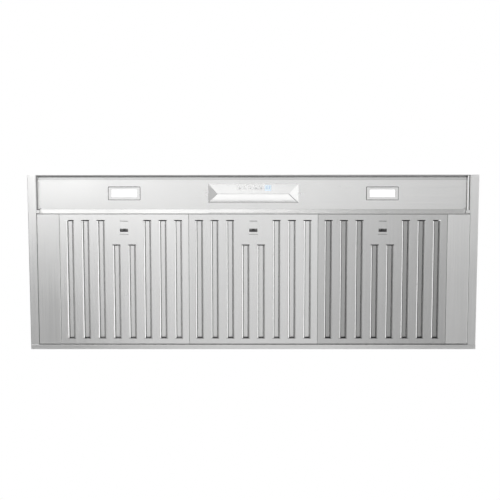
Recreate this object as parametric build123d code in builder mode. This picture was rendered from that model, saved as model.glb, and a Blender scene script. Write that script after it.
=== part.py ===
from build123d import *
import os
from math import asin, atan, cos, degrees, hypot, radians, sin

os.makedirs("parts", exist_ok=True)

# A range hood insert as it hangs in its cabinet. X runs across the cooktop, -Y is the cook's side, +Z is up.
# The origin is the middle of the underside. All sizes are in millimetres.

# Shell
overall_width = 1168.0
overall_depth = 461.0
side_flange = 21.5
rear_strip = 12.6
rear_strip_lap = 4.1
plenum_height = 140.0
shell_sheet = 1.2
trim_sheet = 1.0
hem_height = 5.0
return_width = 12.0
return_inset = 17.0
joint_gap = 0.3
cover_height = 62.0
cover_lean = 18.5

# Recessed front strip that carries the lamps and the controls
recess_height = 20.0
recess_slope = 8.0
recess_depth = 98.9
lip_return = 6.5
lip_hem = 6.0
catch_height = 8.0
trim_bend = 1.5
shell_bend = 2.0
ledge_width = 5.0
ledge_leg = 15.0
plate_end_gap = 0.3
plenum_wall_setback = 2.4

# Baffle filters
filter_count = 3
filter_seam = 0.5
filter_front_gap = 1.4
filter_rear_gap = 2.4
filter_height = 20.0
filter_sheet = 0.8
filter_bend = 0.7
filter_lip = 6.7
slot_count = 8
slot_side_margin = 27.0
slot_width = 10.6
slot_bend = 5.2
slot_notch = 2.5
slot_rear_notch = 1.0
slot_flange = 7.0
slot_front_margin = 15.1
slot_rear_margin = 13.9
short_slot_setback = 64.4
baffle_width = 31.6
baffle_foot = 5.0
baffle_top = 13.0
baffle_bend = 2.0
baffle_front_gap = 5.0
baffle_end_lap = 2.0
strap_width = 12.0
strap_sheet = 1.0

# Filter latch
latch_width = 20.2
latch_length = 17.4
latch_margin = 20.4
latch_travel = 6.0
latch_window = 8.4
latch_sheet = 1.2
latch_clearance = 0.5
tongue_width = 19.6
tongue_foot = 8.6
tongue_gap = 0.5
latch_box_width = 28.8
latch_box_length = 62.0
latch_box_height = 12.4
relief_depth = 0.5
relief_width = 1.3
spring_radius = 3.0
spring_bore = 2.2
spring_height = 7.0

# Rod that the filters hook on
rod_radius = 1.5
pivot_setback = 3.0
pivot_height = 6.0
hook_clearance = 0.08
hook_wall = 1.6
hook_width = 12.0
hook_spacing = 220.0
hanger_width = 3.0
hanger_height = 22.0
hanger_arm = 8.0

# Filler panels
filler_width = 57.9
filler_height = 15.0
filler_bend = 1.4
filler_gap = 0.6

# Blower
blower_front_space = 29.0
blower_rear_space = 56.0
blower_setback = 112.0
scroll_width = 160.0
scroll_radius = 84.0
scroll_step = 9.0
scroll_flange_x = 114.0
wheel_radius = 76.0
wheel_inner = 62.0
wheel_width = 140.0
blade_count = 36
blade_sheet = 0.8
inlet_radius = 58.0
inlet_lap = 9.0
shaft_radius = 6.0
bearing_radius = 14.0
bearing_width = 8.0
bearing_clearance = 0.05
motor_radius = 45.0
motor_length = 70.0
motor_gap = 14.8
motor_wall = 2.0
rotor_gap = 0.6
cover_half_width = 180.0
blower_cover_height = 110.0
cover_flange = 14.0

# Duct collar and backdraft damper
collar_radius = 100.5
collar_wall = 0.9
collar_height = 52.0
collar_flange = 14.0
damper_height = 18.0
damper_rod_radius = 2.5
damper_clearance = 0.08
damper_barrel = 4.0
damper_sheet = 1.0
damper_rim_gap = 1.2

# Lamps
lamp_spacing = 671.0
bezel_length = 81.8
bezel_width = 32.9
lens_length = 64.4
lens_width = 18.8
bezel_proud = 1.4
gasket_edge = 1.2
lamp_collar = 10.0
lamp_wall = 2.0

# Control pod
pod_length = 234.6
pod_width = 50.1
pod_height = 12.0
pod_wall = 2.0
ridge_flat = 0.5
tab_length = 8.0
tab_width = 3.0
tab_sheet = 0.8
button_length = 10.0
button_width = 8.4
button_pitch = 14.0
button_row = -7.5
button_shift = 3.2
button_proud = 0.5
button_travel = 1.0
button_clearance = 0.15
button_collar = 1.2
display_length = 17.0
display_width = 16.0
display_gap = 12.6
display_shift = 2.6
board_sheet = 1.6

# Control board and motor capacitor
board_length = 230.0
board_width = 42.0
board_standoff = 15.0
standoff_radius = 3.0
transformer_length = 38.0
transformer_width = 30.0
transformer_height = 20.0
relay_size = 16.0
capacitor_radius = 15.0
capacitor_length = 56.0
capacitor_foot = 2.0

# Fasteners
screw_radius = 1.9
screw_length = 5.0
rivet_head_height = 1.4
screw_clearance = 0.1
screw_head = 3.6
screw_head_height = 2.2
hanging_hole = 4.0
hanging_margin_x = 62.5
hanging_span_y = 260.0
side_hole = 2.6
side_hole_span = 200.0
side_hole_height = 100.0

# Junction box
junction_length = 110.0
junction_width = 80.0
junction_height = 45.0
junction_x = -385.0
junction_y = 90.0
gland_radius = 8.5
gland_bore = 4.0

# Places worked out from the sizes above
half_width = overall_width / 2
front_y = -overall_depth / 2
rear_y = overall_depth / 2
wall_x = half_width - side_flange
strip_y = rear_y - rear_strip
rear_wall_y = strip_y + rear_strip_lap
lip_rim_y = front_y + trim_sheet
floor_front_y = lip_rim_y + recess_slope
floor_rear_y = lip_rim_y + recess_depth - recess_slope
rim_rear_y = lip_rim_y + recess_depth
catch_y = rim_rear_y + trim_sheet
strip_centre_y = (floor_front_y + floor_rear_y) / 2
plenum_wall_y = floor_rear_y - plenum_wall_setback
filter_front_y = catch_y + filter_front_gap
filter_rear_y = strip_y - filter_rear_gap
filter_depth = filter_rear_y - filter_front_y
filter_middle_y = (filter_front_y + filter_rear_y) / 2
filler_outer_x = wall_x - filler_gap
filler_inner_x = filler_outer_x - filler_width
filter_pitch = (2 * filler_inner_x - filter_seam) / filter_count
filter_width = filter_pitch - filter_seam
slot_pitch = (filter_width - 2 * slot_side_margin) / (slot_count - 1)
filter_rim_y = filter_rear_y - filter_lip
pivot_y = filter_rear_y - pivot_setback
slot_front_y = filter_front_y + slot_front_margin
slot_rear_y = filter_rear_y - slot_rear_margin
panel_middle_y = (plenum_wall_y + rear_wall_y) / 2
blower_cover_front_y = plenum_wall_y + blower_front_space
blower_cover_rear_y = rear_wall_y - blower_rear_space
blower_y = blower_cover_front_y + blower_setback
blower_z = plenum_height
top_z = plenum_height
under_top_z = plenum_height - shell_sheet
blower_top_z = plenum_height + blower_cover_height
outlet_z = blower_top_z - shell_sheet
collar_y = blower_y + (scroll_radius + 2 * scroll_step) / 2
damper_z = blower_top_z + damper_height
plate_top_z = recess_height + trim_sheet
floor_plane = Plane.XY.offset(recess_height)
filter_centres = [(i - (filter_count - 1) / 2) * filter_pitch for i in range(filter_count)]
filter_names = ["left_filter", "middle_filter", "right_filter"]
hanging_x = wall_x - hanging_margin_x
hanging_ys = (panel_middle_y - hanging_span_y / 2, panel_middle_y + hanging_span_y / 2)
hanging_points = [(x, y) for x in (-hanging_x, hanging_x) for y in hanging_ys]


def save(piece, name):
    piece.part.label = name
    export_step(piece.part, f"parts/{name}.step")


def bent_sheet(points, thickness, bend):
    """Profile of folded sheet in a sketch: one face follows the points, and the thickness lies to their left."""
    normals = []
    for (x, y), (next_x, next_y) in zip(points, points[1:]):
        length = hypot(next_x - x, next_y - y)
        normals.append((-(next_y - y) / length, (next_x - x) / length))
    corners = [(normals[0][0], normals[0][1])]
    for before, after in zip(normals, normals[1:]):
        scale = 1 / (1 + before[0] * after[0] + before[1] * after[1])
        corners.append(((before[0] + after[0]) * scale, (before[1] + after[1]) * scale))
    corners.append(normals[-1])
    middle = [(x + u * thickness / 2, y + v * thickness / 2) for (x, y), (u, v) in zip(points, corners)]
    with BuildLine(mode=Mode.PRIVATE) as centre_line:
        FilletPolyline(*middle, radius=bend) if len(middle) > 2 else Polyline(*middle)
    return trace(centre_line.edges(), line_width=thickness)


def block(low, high):
    """A box between two corners, added to the part being built."""
    size = [h - l for l, h in zip(low, high)]
    with Locations(low):
        return Box(*size, align=(Align.MIN, Align.MIN, Align.MIN))


def cut_block(low, high):
    """A box between two corners, cut from the part being built."""
    size = [h - l for l, h in zip(low, high)]
    with Locations(low):
        return Box(*size, align=(Align.MIN, Align.MIN, Align.MIN), mode=Mode.SUBTRACT)


def rod_along(axis_plane, centre, radius, start, length, mode=Mode.ADD):
    """A cylinder whose axis is normal to axis_plane, from start along the normal."""
    with BuildSketch(axis_plane.offset(start)) as disc:
        with Locations(centre):
            Circle(radius)
    return extrude(disc.sketch, amount=length, mode=mode)


# End panels: wall with the flange strip at its foot and a return at its head
with BuildPart() as right_end_panel:
    wall_front_y = front_y + trim_sheet
    with BuildSketch(Plane.YZ.offset(wall_x)):
        Polygon(
            (wall_front_y, 0),
            (wall_front_y, lip_hem),
            (wall_front_y + cover_lean, cover_height),
            (plenum_wall_y, cover_height),
            (plenum_wall_y, under_top_z),
            (rear_wall_y + shell_sheet, under_top_z),
            (rear_wall_y + shell_sheet, 2 * shell_sheet + joint_gap),
            (strip_y - joint_gap, 2 * shell_sheet + joint_gap),
            (strip_y - joint_gap, 0),
            align=None,
        )
    extrude(amount=shell_sheet)
    block((wall_x, front_y, 0), (half_width, strip_y - joint_gap, shell_sheet))
    block((half_width - shell_sheet, front_y, 0), (half_width, strip_y - joint_gap, hem_height))
    block((wall_x + shell_sheet, front_y, 0), (half_width, front_y + shell_sheet, hem_height))
    corner = right_end_panel.edges().filter_by(Axis.Y).sort_by(Axis.Z)
    fillet(corner.filter_by_position(Axis.Z, -0.01, 0.01).sort_by(Axis.X)[-1], radius=shell_sheet * 0.8)
    return_front_y = plenum_wall_y + return_inset
    return_rear_y = rear_wall_y - return_inset
    block((wall_x - return_width, return_front_y, under_top_z - shell_sheet), (wall_x, return_rear_y, under_top_z))
    for hole_y in (panel_middle_y - side_hole_span / 2, panel_middle_y + side_hole_span / 2):
        rod_along(Plane.YZ, (hole_y, side_hole_height), side_hole, wall_x, shell_sheet, Mode.SUBTRACT)
    filler_screw_y = (filter_middle_y - filter_depth / 3, filter_middle_y + filter_depth / 3)
    filler_screw_z = filler_height * 0.6
    for hole_y in filler_screw_y:
        hole_radius = screw_radius + screw_clearance
        rod_along(Plane.YZ, (hole_y, filler_screw_z), hole_radius, wall_x, shell_sheet, Mode.SUBTRACT)
save(right_end_panel, "right_end_panel")

with BuildPart() as left_end_panel:
    mirror(right_end_panel.part, about=Plane.YZ)
save(left_end_panel, "left_end_panel")

# Rear panel and the strip that trims its foot
with BuildPart() as rear_panel:
    block((-wall_x, rear_wall_y, shell_sheet), (wall_x, rear_wall_y + shell_sheet, under_top_z))
    block((-wall_x, rear_wall_y, shell_sheet), (wall_x, rear_y - 2 * shell_sheet, 2 * shell_sheet))
    head = under_top_z - shell_sheet
    block((-wall_x + return_inset, rear_wall_y - return_width, head), (wall_x - return_inset, rear_wall_y, under_top_z))
save(rear_panel, "rear_panel")

with BuildPart() as rear_trim:
    block((-half_width, strip_y, 0), (half_width, rear_y, shell_sheet))
    block((-half_width, rear_y - shell_sheet, 0), (half_width, rear_y, hem_height))
    low_edges = rear_trim.edges().filter_by(Axis.X).filter_by_position(Axis.Z, -0.01, 0.01).sort_by(Axis.Y)
    fillet([low_edges[0], low_edges[-1]], radius=shell_sheet * 0.8)
save(rear_trim, "rear_trim")

# Front lip: hem, sloped face and the return that the control plate lies on
lip_half = wall_x - joint_gap
lip_shelf_z = recess_height - trim_sheet
with BuildPart() as front_lip:
    with BuildSketch(Plane.YZ.offset(-lip_half)):
        shelf_rear_y = floor_front_y + lip_return
        lip_line = [(shelf_rear_y, lip_shelf_z), (floor_front_y, lip_shelf_z), (lip_rim_y, 0)]
        bent_sheet(lip_line[::-1], trim_sheet, trim_bend)
        Polygon((front_y, 0), (lip_rim_y, 0), (lip_rim_y, lip_hem), (front_y, lip_hem), align=None)
    extrude(amount=2 * lip_half)
save(front_lip, "front_lip")

# Control plate: flat floor, sloped rear wall and the catch edge that the latches reach over
plate_half = wall_x - shell_sheet - plate_end_gap
opening_length = pod_length - 30
opening_width = pod_width - 11
lamp_opening_length = bezel_length - 8
lamp_opening_width = bezel_width - 8
lamp_points = [(-lamp_spacing / 2, strip_centre_y), (lamp_spacing / 2, strip_centre_y)]
with BuildPart() as control_plate:
    with BuildSketch(Plane.YZ.offset(-plate_half)):
        plate_front_y = floor_front_y + 2 * trim_sheet
        bent_sheet([(plate_front_y, recess_height), (floor_rear_y, recess_height), (rim_rear_y, 0)],
                   trim_sheet, trim_bend)
        Polygon((rim_rear_y, 0), (catch_y, 0), (catch_y, catch_height), (rim_rear_y, catch_height), align=None)
    extrude(amount=2 * plate_half)
    with BuildSketch(floor_plane):
        with Locations(*lamp_points):
            Rectangle(lamp_opening_length, lamp_opening_width)
        with Locations((0, strip_centre_y)):
            Rectangle(opening_length, opening_width)
    extrude(amount=trim_sheet, mode=Mode.SUBTRACT)
save(control_plate, "control_plate")

# Ledges on the end walls, under the ends of the control plate
with BuildPart() as plate_ledges:
    ledge_front_y = shelf_rear_y + joint_gap
    ledge_rear_y = plenum_wall_y - joint_gap
    ledge_foot = recess_height - shell_sheet
    block((wall_x - ledge_width, ledge_front_y, ledge_foot), (wall_x, ledge_rear_y, recess_height))
    block((wall_x - shell_sheet, ledge_front_y, ledge_foot), (wall_x, ledge_rear_y, recess_height + ledge_leg))
    mirror(about=Plane.YZ)
save(plate_ledges, "plate_ledges")

# Wall between the filter chamber and the electrics, standing on the control plate
with BuildPart() as plenum_front_wall:
    foot_top_z = plate_top_z + shell_sheet
    block((-wall_x, plenum_wall_y, plate_top_z), (wall_x, plenum_wall_y + shell_sheet, under_top_z))
    foot_half = plate_half - return_inset
    block((-foot_half, plenum_wall_y - return_width, plate_top_z), (foot_half, plenum_wall_y, foot_top_z))
    head_rear_y = plenum_wall_y + shell_sheet + return_width
    head_half = wall_x - return_inset
    block((-head_half, plenum_wall_y, under_top_z - shell_sheet), (head_half, head_rear_y, under_top_z))
save(plenum_front_wall, "plenum_front_wall")

# Cover over the electrics: it leans back from the front hem and runs level to the plenum wall
with BuildPart() as front_cover:
    with BuildSketch(Plane.YZ.offset(-wall_x)):
        cover_line = [(front_y, lip_hem + 0.4), (front_y + cover_lean, cover_height), (plenum_wall_y, cover_height)]
        bent_sheet(cover_line[::-1], shell_sheet, shell_bend)
    extrude(amount=2 * wall_x)
save(front_cover, "front_cover")

# Top panel with the opening under the blower housing
side_rivet_x = wall_x - return_width / 2
side_rivet_step = (rear_wall_y - plenum_wall_y) * 0.22
end_rivet_y = rear_wall_y - return_width / 2
end_rivet_step = wall_x * 0.32
rivet_points = [(x, panel_middle_y + i * side_rivet_step) for x in (-side_rivet_x, side_rivet_x) for i in (-1, 0, 1)]
rivet_points += [(i * end_rivet_step, end_rivet_y) for i in range(-2, 3)]
rivet_points += [(i * end_rivet_step, plenum_wall_y + shell_sheet + return_width / 2) for i in range(-2, 3)]
cover_middle_y = (blower_cover_front_y + blower_cover_rear_y) / 2
cover_depth = blower_cover_rear_y - blower_cover_front_y
flange_x = cover_half_width + cover_flange / 2
flange_y = cover_depth / 2 + cover_flange / 2
cover_screw_points = [(x * flange_x, cover_middle_y + y * flange_y * 0.8) for x in (-1, 1) for y in (-1, 0, 1)]
cover_screw_points += [(x * flange_x * 0.75, cover_middle_y + y * flange_y) for x in (-1, 0, 1) for y in (-1, 1)]
with BuildPart() as top_panel:
    top_half = wall_x + shell_sheet
    block((-top_half, plenum_wall_y, under_top_z), (top_half, rear_wall_y + shell_sheet, top_z))
    opening_edge = 2 * shell_sheet
    low = (-cover_half_width + opening_edge, blower_cover_front_y + opening_edge, under_top_z)
    high = (cover_half_width - opening_edge, blower_cover_rear_y - opening_edge, top_z)
    cut_block(low, high)
    with BuildSketch(Plane.XY.offset(under_top_z)):
        with Locations(*hanging_points):
            Circle(hanging_hole)
        with Locations(*rivet_points, *cover_screw_points):
            Circle(screw_radius + screw_clearance)
    extrude(amount=shell_sheet, mode=Mode.SUBTRACT)
save(top_panel, "top_panel")


# Filler panels between the outer filters and the end walls
with BuildPart() as right_filler_panel:
    block((filler_inner_x, filter_front_y, 0), (filler_outer_x, filter_rear_y, filler_height))
    fillet(right_filler_panel.faces().sort_by(Axis.Z)[0].edges(), radius=filler_bend)
    offset(amount=-trim_sheet, openings=right_filler_panel.faces().sort_by(Axis.Z)[-1])
    for hole_y in filler_screw_y:
        hole_radius = screw_radius + screw_clearance
        start_x = filler_outer_x - trim_sheet
        rod_along(Plane.YZ, (hole_y, filler_screw_z), hole_radius, start_x, trim_sheet, Mode.SUBTRACT)
save(right_filler_panel, "right_filler_panel")

with BuildPart() as left_filler_panel:
    mirror(right_filler_panel.part, about=Plane.YZ)
save(left_filler_panel, "left_filler_panel")


# Baffle filters
def slot_places():
    """Offset across the filter and front edge of each slot; the middle pair is short and leaves room for the latch."""
    places = []
    for i in range(slot_count):
        offset_x = (i - (slot_count - 1) / 2) * slot_pitch
        is_short = abs(offset_x) < slot_pitch
        places.append((offset_x, slot_front_y + (short_slot_setback if is_short else 0)))
    return places


latch_front_y = filter_front_y + latch_margin
latch_rear_y = latch_front_y + latch_length
window_rear_y = latch_rear_y + latch_window
latch_box_front_y = filter_front_y + 10.2
latch_box_rear_y = latch_box_front_y + latch_box_length
latch_half = latch_width / 2


def slot_edges(centre_x, front, rear):
    """The two rolled edges of one slot, bent up into the filter."""
    with BuildSketch(Plane.XZ.offset(-rear)) as edges:
        for side in (-1, 1):
            centre = (centre_x + side * (slot_width / 2 + slot_bend), slot_bend)
            start_angle = 180 if side > 0 else 270
            with BuildLine():
                outer = CenterArc(centre, slot_bend, start_angle, 90)
                inner = CenterArc(centre, slot_bend - filter_sheet, start_angle, 90)
                if side > 0:
                    Line(outer @ 1, inner @ 1)
                    edge_outer, edge_inner = outer @ 0, inner @ 0
                else:
                    Line(outer @ 0, inner @ 0)
                    edge_outer, edge_inner = outer @ 1, inner @ 1
                Polyline(edge_outer, (edge_outer.X, slot_flange), (edge_inner.X, slot_flange), edge_inner)
            make_face()
    extrude(edges.sketch, amount=rear - front)


def hook(centre_x):
    """Hook that hangs over the rod, open below so that the filter lifts off."""
    outer = rod_radius + hook_clearance + hook_wall
    with BuildSketch(Plane.YZ.offset(centre_x - hook_width / 2)) as profile:
        with Locations((pivot_y, pivot_height)):
            Circle(outer)
        Polygon(
            (filter_rim_y - filter_sheet / 2, pivot_height + 0.2),
            (pivot_y, pivot_height + 0.2),
            (pivot_y, pivot_height + outer),
            (filter_rim_y - filter_sheet / 2, pivot_height + outer),
            align=None,
        )
        with Locations((pivot_y, pivot_height)):
            Circle(rod_radius + hook_clearance, mode=Mode.SUBTRACT)
        mouth = rod_radius + hook_clearance
        Polygon(
            (pivot_y - mouth, pivot_height),
            (pivot_y + mouth, pivot_height),
            (pivot_y + mouth, pivot_height - 2 * outer),
            (pivot_y - mouth, pivot_height - 2 * outer),
            align=None,
            mode=Mode.SUBTRACT,
        )
    extrude(profile.sketch, amount=hook_width)


def make_filter_face(centre_x):
    """Slotted face with its rims, rolled slot edges, rear lip, hooks and the housing over the latch."""
    with BuildPart() as pan:
        low_x = centre_x - filter_width / 2
        high_x = centre_x + filter_width / 2
        block((low_x, filter_front_y, 0), (high_x, filter_rim_y, filter_height))
        bottom = pan.faces().sort_by(Axis.Z)[0]
        rear_edge = bottom.edges().sort_by(Axis.Y)[-1]
        fillet([edge for edge in bottom.edges() if edge != rear_edge], radius=filter_bend)
        offset(amount=-filter_sheet, openings=pan.faces().sort_by(Axis.Z)[-1])
        block((low_x, filter_rim_y, 0), (high_x, filter_rear_y, filter_sheet))
        for offset_x, front in slot_places():
            half_cut = slot_width / 2 + slot_bend
            x = centre_x + offset_x
            cut_block((x - half_cut, front, -1), (x + half_cut, slot_rear_y, filter_sheet + 1))
        opening = latch_half + latch_clearance
        cut_block(
            (centre_x - opening, latch_front_y - latch_clearance, -1),
            (centre_x + opening, window_rear_y, filter_sheet + 1),
        )
        slot_half = tongue_width / 2 + latch_clearance
        cut_block(
            (centre_x - slot_half, filter_front_y - 1, tongue_foot - latch_clearance),
            (centre_x + slot_half, filter_front_y + 1, tongue_foot + latch_sheet + latch_clearance),
        )
        front_relief_y = latch_front_y - 3
        rear_relief_y = window_rear_y + 6
        for relief_y, relief_half in ((front_relief_y, latch_half), (rear_relief_y, latch_half + 2)):
            cut_block(
                (centre_x - relief_half, relief_y, -1),
                (centre_x + relief_half, relief_y + relief_width, relief_depth),
            )
        for offset_x, front in slot_places():
            slot_edges(centre_x + offset_x, front + slot_notch, slot_rear_y - slot_rear_notch)
        for side in (-1, 1):
            hook(centre_x + side * hook_spacing / 2)
    with BuildPart() as face:
        add(pan.part)
        box_half = latch_box_width / 2
        with BuildSketch(Plane.XZ.offset(-latch_box_rear_y)):
            with Locations((centre_x, filter_sheet)):
                Rectangle(latch_box_width, latch_box_height - filter_sheet, align=(Align.CENTER, Align.MIN))
                inner_height = latch_box_height - 2 * filter_sheet
                inner_width = latch_box_width - 2 * filter_sheet
                Rectangle(inner_width, inner_height, align=(Align.CENTER, Align.MIN), mode=Mode.SUBTRACT)
        extrude(amount=latch_box_length)
        block(
            (centre_x - box_half, latch_box_rear_y, filter_sheet),
            (centre_x + box_half, latch_box_rear_y + filter_sheet, latch_box_height),
        )
    return face


def make_baffles(centre_x):
    """The channels behind the slots, joined by straps across the filter."""
    strap_top = baffle_top + strap_sheet
    strap_half = filter_width / 2 - filter_sheet
    with BuildPart() as baffles:
        for offset_x, front in slot_places():
            rear = slot_rear_y + baffle_end_lap
            with BuildSketch(Plane.XZ.offset(-rear)):
                left_x = centre_x + offset_x - baffle_width / 2
                right_x = left_x + baffle_width
                channel = [(left_x, baffle_top), (right_x, baffle_top)]
                bent_sheet([(right_x, baffle_foot), *channel[::-1], (left_x, baffle_foot)], filter_sheet, baffle_bend)
            extrude(amount=rear - (front + baffle_front_gap))
        short_strap_y = slot_front_y + short_slot_setback + strap_width
        straps = (short_strap_y, (slot_front_y + slot_rear_y) / 2 + 30, slot_rear_y - strap_width)
        for strap_y in straps:
            low = (centre_x - strap_half, strap_y, baffle_top)
            block(low, (centre_x + strap_half, strap_y + strap_width, strap_top))
        front_strap_y = slot_front_y + strap_width
        block(
            (centre_x - strap_half, front_strap_y, baffle_top),
            (centre_x + strap_half, front_strap_y + strap_width, strap_top),
        )
    return baffles


def make_latch_slide(centre_x):
    """Finger pad in the window, carrier behind the face, tongue that reaches over the catch edge."""
    pad_foot = 0.15
    carrier_foot = filter_sheet + 0.4
    carrier_half = latch_box_width / 2 - filter_sheet - latch_clearance
    tongue_half = tongue_width / 2
    riser_front_y = latch_front_y - 4.2
    with BuildPart() as slide:
        block(
            (centre_x - latch_half, latch_front_y, pad_foot), (centre_x + latch_half, latch_rear_y, carrier_foot)
        )
        block(
            (centre_x - carrier_half, riser_front_y, carrier_foot),
            (centre_x + carrier_half, latch_rear_y, carrier_foot + latch_sheet),
        )
        block(
            (centre_x - carrier_half, latch_rear_y - latch_sheet, carrier_foot),
            (centre_x + carrier_half, latch_rear_y, latch_box_height - 2 * filter_sheet),
        )
        block(
            (centre_x - tongue_half, riser_front_y, carrier_foot),
            (centre_x + tongue_half, riser_front_y + latch_sheet, tongue_foot + latch_sheet),
        )
        block(
            (centre_x - tongue_half, catch_y + tongue_gap, tongue_foot),
            (centre_x + tongue_half, riser_front_y + latch_sheet, tongue_foot + latch_sheet),
        )
        peg = spring_bore - latch_clearance
        plane = Plane.XZ.offset(-latch_rear_y)
        rod_along(plane, (centre_x, spring_height), peg, 0, -latch_window, Mode.ADD)
    return slide


def make_latch_spring(centre_x):
    """Room taken by the coil spring between the slide and the rear of its housing."""
    spring_length = latch_box_rear_y - latch_rear_y
    with BuildPart() as spring:
        with BuildSketch(Plane.XZ.offset(-latch_box_rear_y)):
            with Locations((centre_x, spring_height)):
                Circle(spring_radius)
                Circle(spring_bore, mode=Mode.SUBTRACT)
        extrude(amount=spring_length)
    return spring


for filter_name, centre in zip(filter_names, filter_centres):
    save(make_filter_face(centre), f"{filter_name}_face")
    save(make_baffles(centre), f"{filter_name}_baffles")
    save(make_latch_slide(centre), f"{filter_name}_latch")
    save(make_latch_spring(centre), f"{filter_name}_spring")

# Rod along the back that the filters hook on, carried by hangers from the rear panel
hanger_seams = [-filter_pitch / 2, filter_pitch / 2]
hanger_ends = filter_count * filter_pitch / 2 - hanger_arm
hanger_centres = [-hanger_ends, *hanger_seams, hanger_ends]
hanger_reach = 2.1
with BuildPart() as filter_rod:
    rod_along(Plane.YZ, (pivot_y, pivot_height), rod_radius, -hanger_ends, 2 * hanger_ends)
    for centre in hanger_centres:
        with BuildSketch(Plane.YZ.offset(centre - hanger_width / 2)):
            Polygon(
                (pivot_y - hanger_reach, pivot_height - 2.5),
                (pivot_y + hanger_reach, pivot_height - 2.5),
                (pivot_y + hanger_reach, pivot_height + hanger_arm),
                (rear_wall_y, pivot_height + hanger_arm),
                (rear_wall_y, hanger_height),
                (pivot_y - hanger_reach, hanger_height - 4),
                align=None,
            )
        extrude(amount=hanger_width)
    rail_low = pivot_height + hanger_arm
    block((-hanger_ends, rear_wall_y - shell_sheet, rail_low), (hanger_ends, rear_wall_y, hanger_height))
save(filter_rod, "filter_rod")


# Blower: scroll, wheel and motor on one axis along X
def scroll_outline(margin):
    """Air space of the scroll, grown by margin: three quarter turns that widen, then a straight throat."""
    half_step = scroll_step / 2
    first = scroll_radius + margin
    second = scroll_radius + scroll_step + margin
    third = scroll_radius + 2 * scroll_step + margin
    tongue_angle = 90 + degrees(asin(margin / first))
    with BuildLine() as outline:
        start = CenterArc((blower_y - half_step, blower_z - half_step), first, tongue_angle, 180 - tongue_angle)
        CenterArc((blower_y + half_step, blower_z - half_step), second, 180, 90)
        end = CenterArc((blower_y + half_step, blower_z + half_step), third, 270, 90)
        throat_y = blower_y - half_step - margin
        Polyline(end @ 1, ((end @ 1).X, outlet_z), (throat_y, outlet_z), start @ 0)
    return make_face(outline.edges())


with BuildPart() as scroll_wrap:
    with BuildSketch(Plane.YZ.offset(-scroll_width / 2)) as wrap_outer:
        scroll_outline(shell_sheet)
    extrude(amount=scroll_width)
    with BuildSketch(Plane.YZ.offset(-scroll_width / 2)) as wrap_inner:
        scroll_outline(0)
    extrude(amount=scroll_width, mode=Mode.SUBTRACT)
save(scroll_wrap, "scroll_wrap")

wheel_centre = (blower_y, blower_z)
scroll_face_x = scroll_width / 2 + shell_sheet
with BuildPart() as scroll_sides:
    with BuildSketch(Plane.YZ.offset(scroll_width / 2)):
        scroll_outline(shell_sheet)
        with Locations(wheel_centre):
            Circle(inlet_radius, mode=Mode.SUBTRACT)
    extrude(amount=shell_sheet)
    flange_front_y = blower_y - scroll_step / 2 - shell_sheet
    flange_rear_y = blower_y + scroll_radius + 2.5 * scroll_step + shell_sheet
    block((scroll_width / 2, flange_front_y, outlet_z - shell_sheet), (scroll_flange_x, flange_rear_y, outlet_z))
    with BuildSketch(Plane.XY.offset(outlet_z)):
        with Locations((collar_radius + collar_flange / 2, collar_y)):
            Circle(screw_radius + screw_clearance)
    extrude(amount=-shell_sheet, mode=Mode.SUBTRACT)
    mirror(about=Plane.YZ)
save(scroll_sides, "scroll_sides")

with BuildPart() as inlet_rings:
    mouth = inlet_radius - 0.1
    rod_along(Plane.YZ, wheel_centre, inlet_radius + inlet_lap, scroll_face_x, shell_sheet)
    rod_along(Plane.YZ, wheel_centre, mouth, scroll_face_x, -inlet_lap)
    bore = mouth - shell_sheet
    start_x = scroll_face_x - inlet_lap
    rod_along(Plane.YZ, wheel_centre, bore, start_x, inlet_lap + shell_sheet, Mode.SUBTRACT)
    mouth_edges = inlet_rings.edges().filter_by(GeomType.CIRCLE).filter_by(lambda e: abs(e.radius - bore) < 0.01)
    fillet(mouth_edges.sort_by(Axis.X)[-1], radius=shell_sheet * 0.7)
    mirror(about=Plane.YZ)
save(inlet_rings, "inlet_rings")

with BuildPart() as impeller_blades:
    wheel_plane = Plane(origin=(-wheel_width / 2, blower_y, blower_z), x_dir=(0, 1, 0), z_dir=(1, 0, 0))
    ring_width = 2.0
    blade_tip = wheel_radius - 0.5
    with BuildSketch(wheel_plane):
        with PolarLocations(0, blade_count):
            with BuildLine():
                ThreePointArc((wheel_inner, 0), ((wheel_inner + blade_tip) / 2, 1.2), (blade_tip, 5))
            trace(line_width=blade_sheet)
    extrude(amount=wheel_width)
    for ring_x in (0, wheel_width - ring_width):
        with BuildSketch(wheel_plane.offset(ring_x)):
            Circle(wheel_radius)
            Circle(wheel_inner, mode=Mode.SUBTRACT)
        extrude(amount=ring_width)
save(impeller_blades, "impeller_blades")

hub_radius = 13.0
hub_half = 12.0
with BuildPart() as impeller_hub:
    disc_half = 1.0
    rod_along(Plane.YZ, wheel_centre, wheel_inner - 0.3, -disc_half, 2 * disc_half)
    rod_along(Plane.YZ, wheel_centre, hub_radius, -hub_half, 2 * hub_half)
    fillet(impeller_hub.edges().filter_by(lambda e: abs(abs(e.center().X) - disc_half) < 0.01
                                          and abs(e.radius - hub_radius) < 0.01), radius=3)
    fit = shaft_radius + 0.02
    rod_along(Plane.YZ, wheel_centre, fit, -hub_half, 2 * hub_half, Mode.SUBTRACT)
save(impeller_hub, "impeller_hub")

motor_x = scroll_face_x + motor_gap
cap_x = motor_x + motor_length - motor_wall
first_bearing_x = motor_x + motor_wall
last_bearing_x = cap_x - bearing_width
core_x = first_bearing_x + 2 * bearing_width
core_length = last_bearing_x - bearing_width - core_x
rotor_radius = motor_radius * 0.56
with BuildPart() as motor_shaft:
    rod_along(Plane.YZ, wheel_centre, shaft_radius, -hub_half - 2, cap_x - motor_wall + hub_half + 2)
    chamfer(motor_shaft.edges().filter_by(GeomType.CIRCLE), length=0.8)
save(motor_shaft, "motor_shaft")

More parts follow.
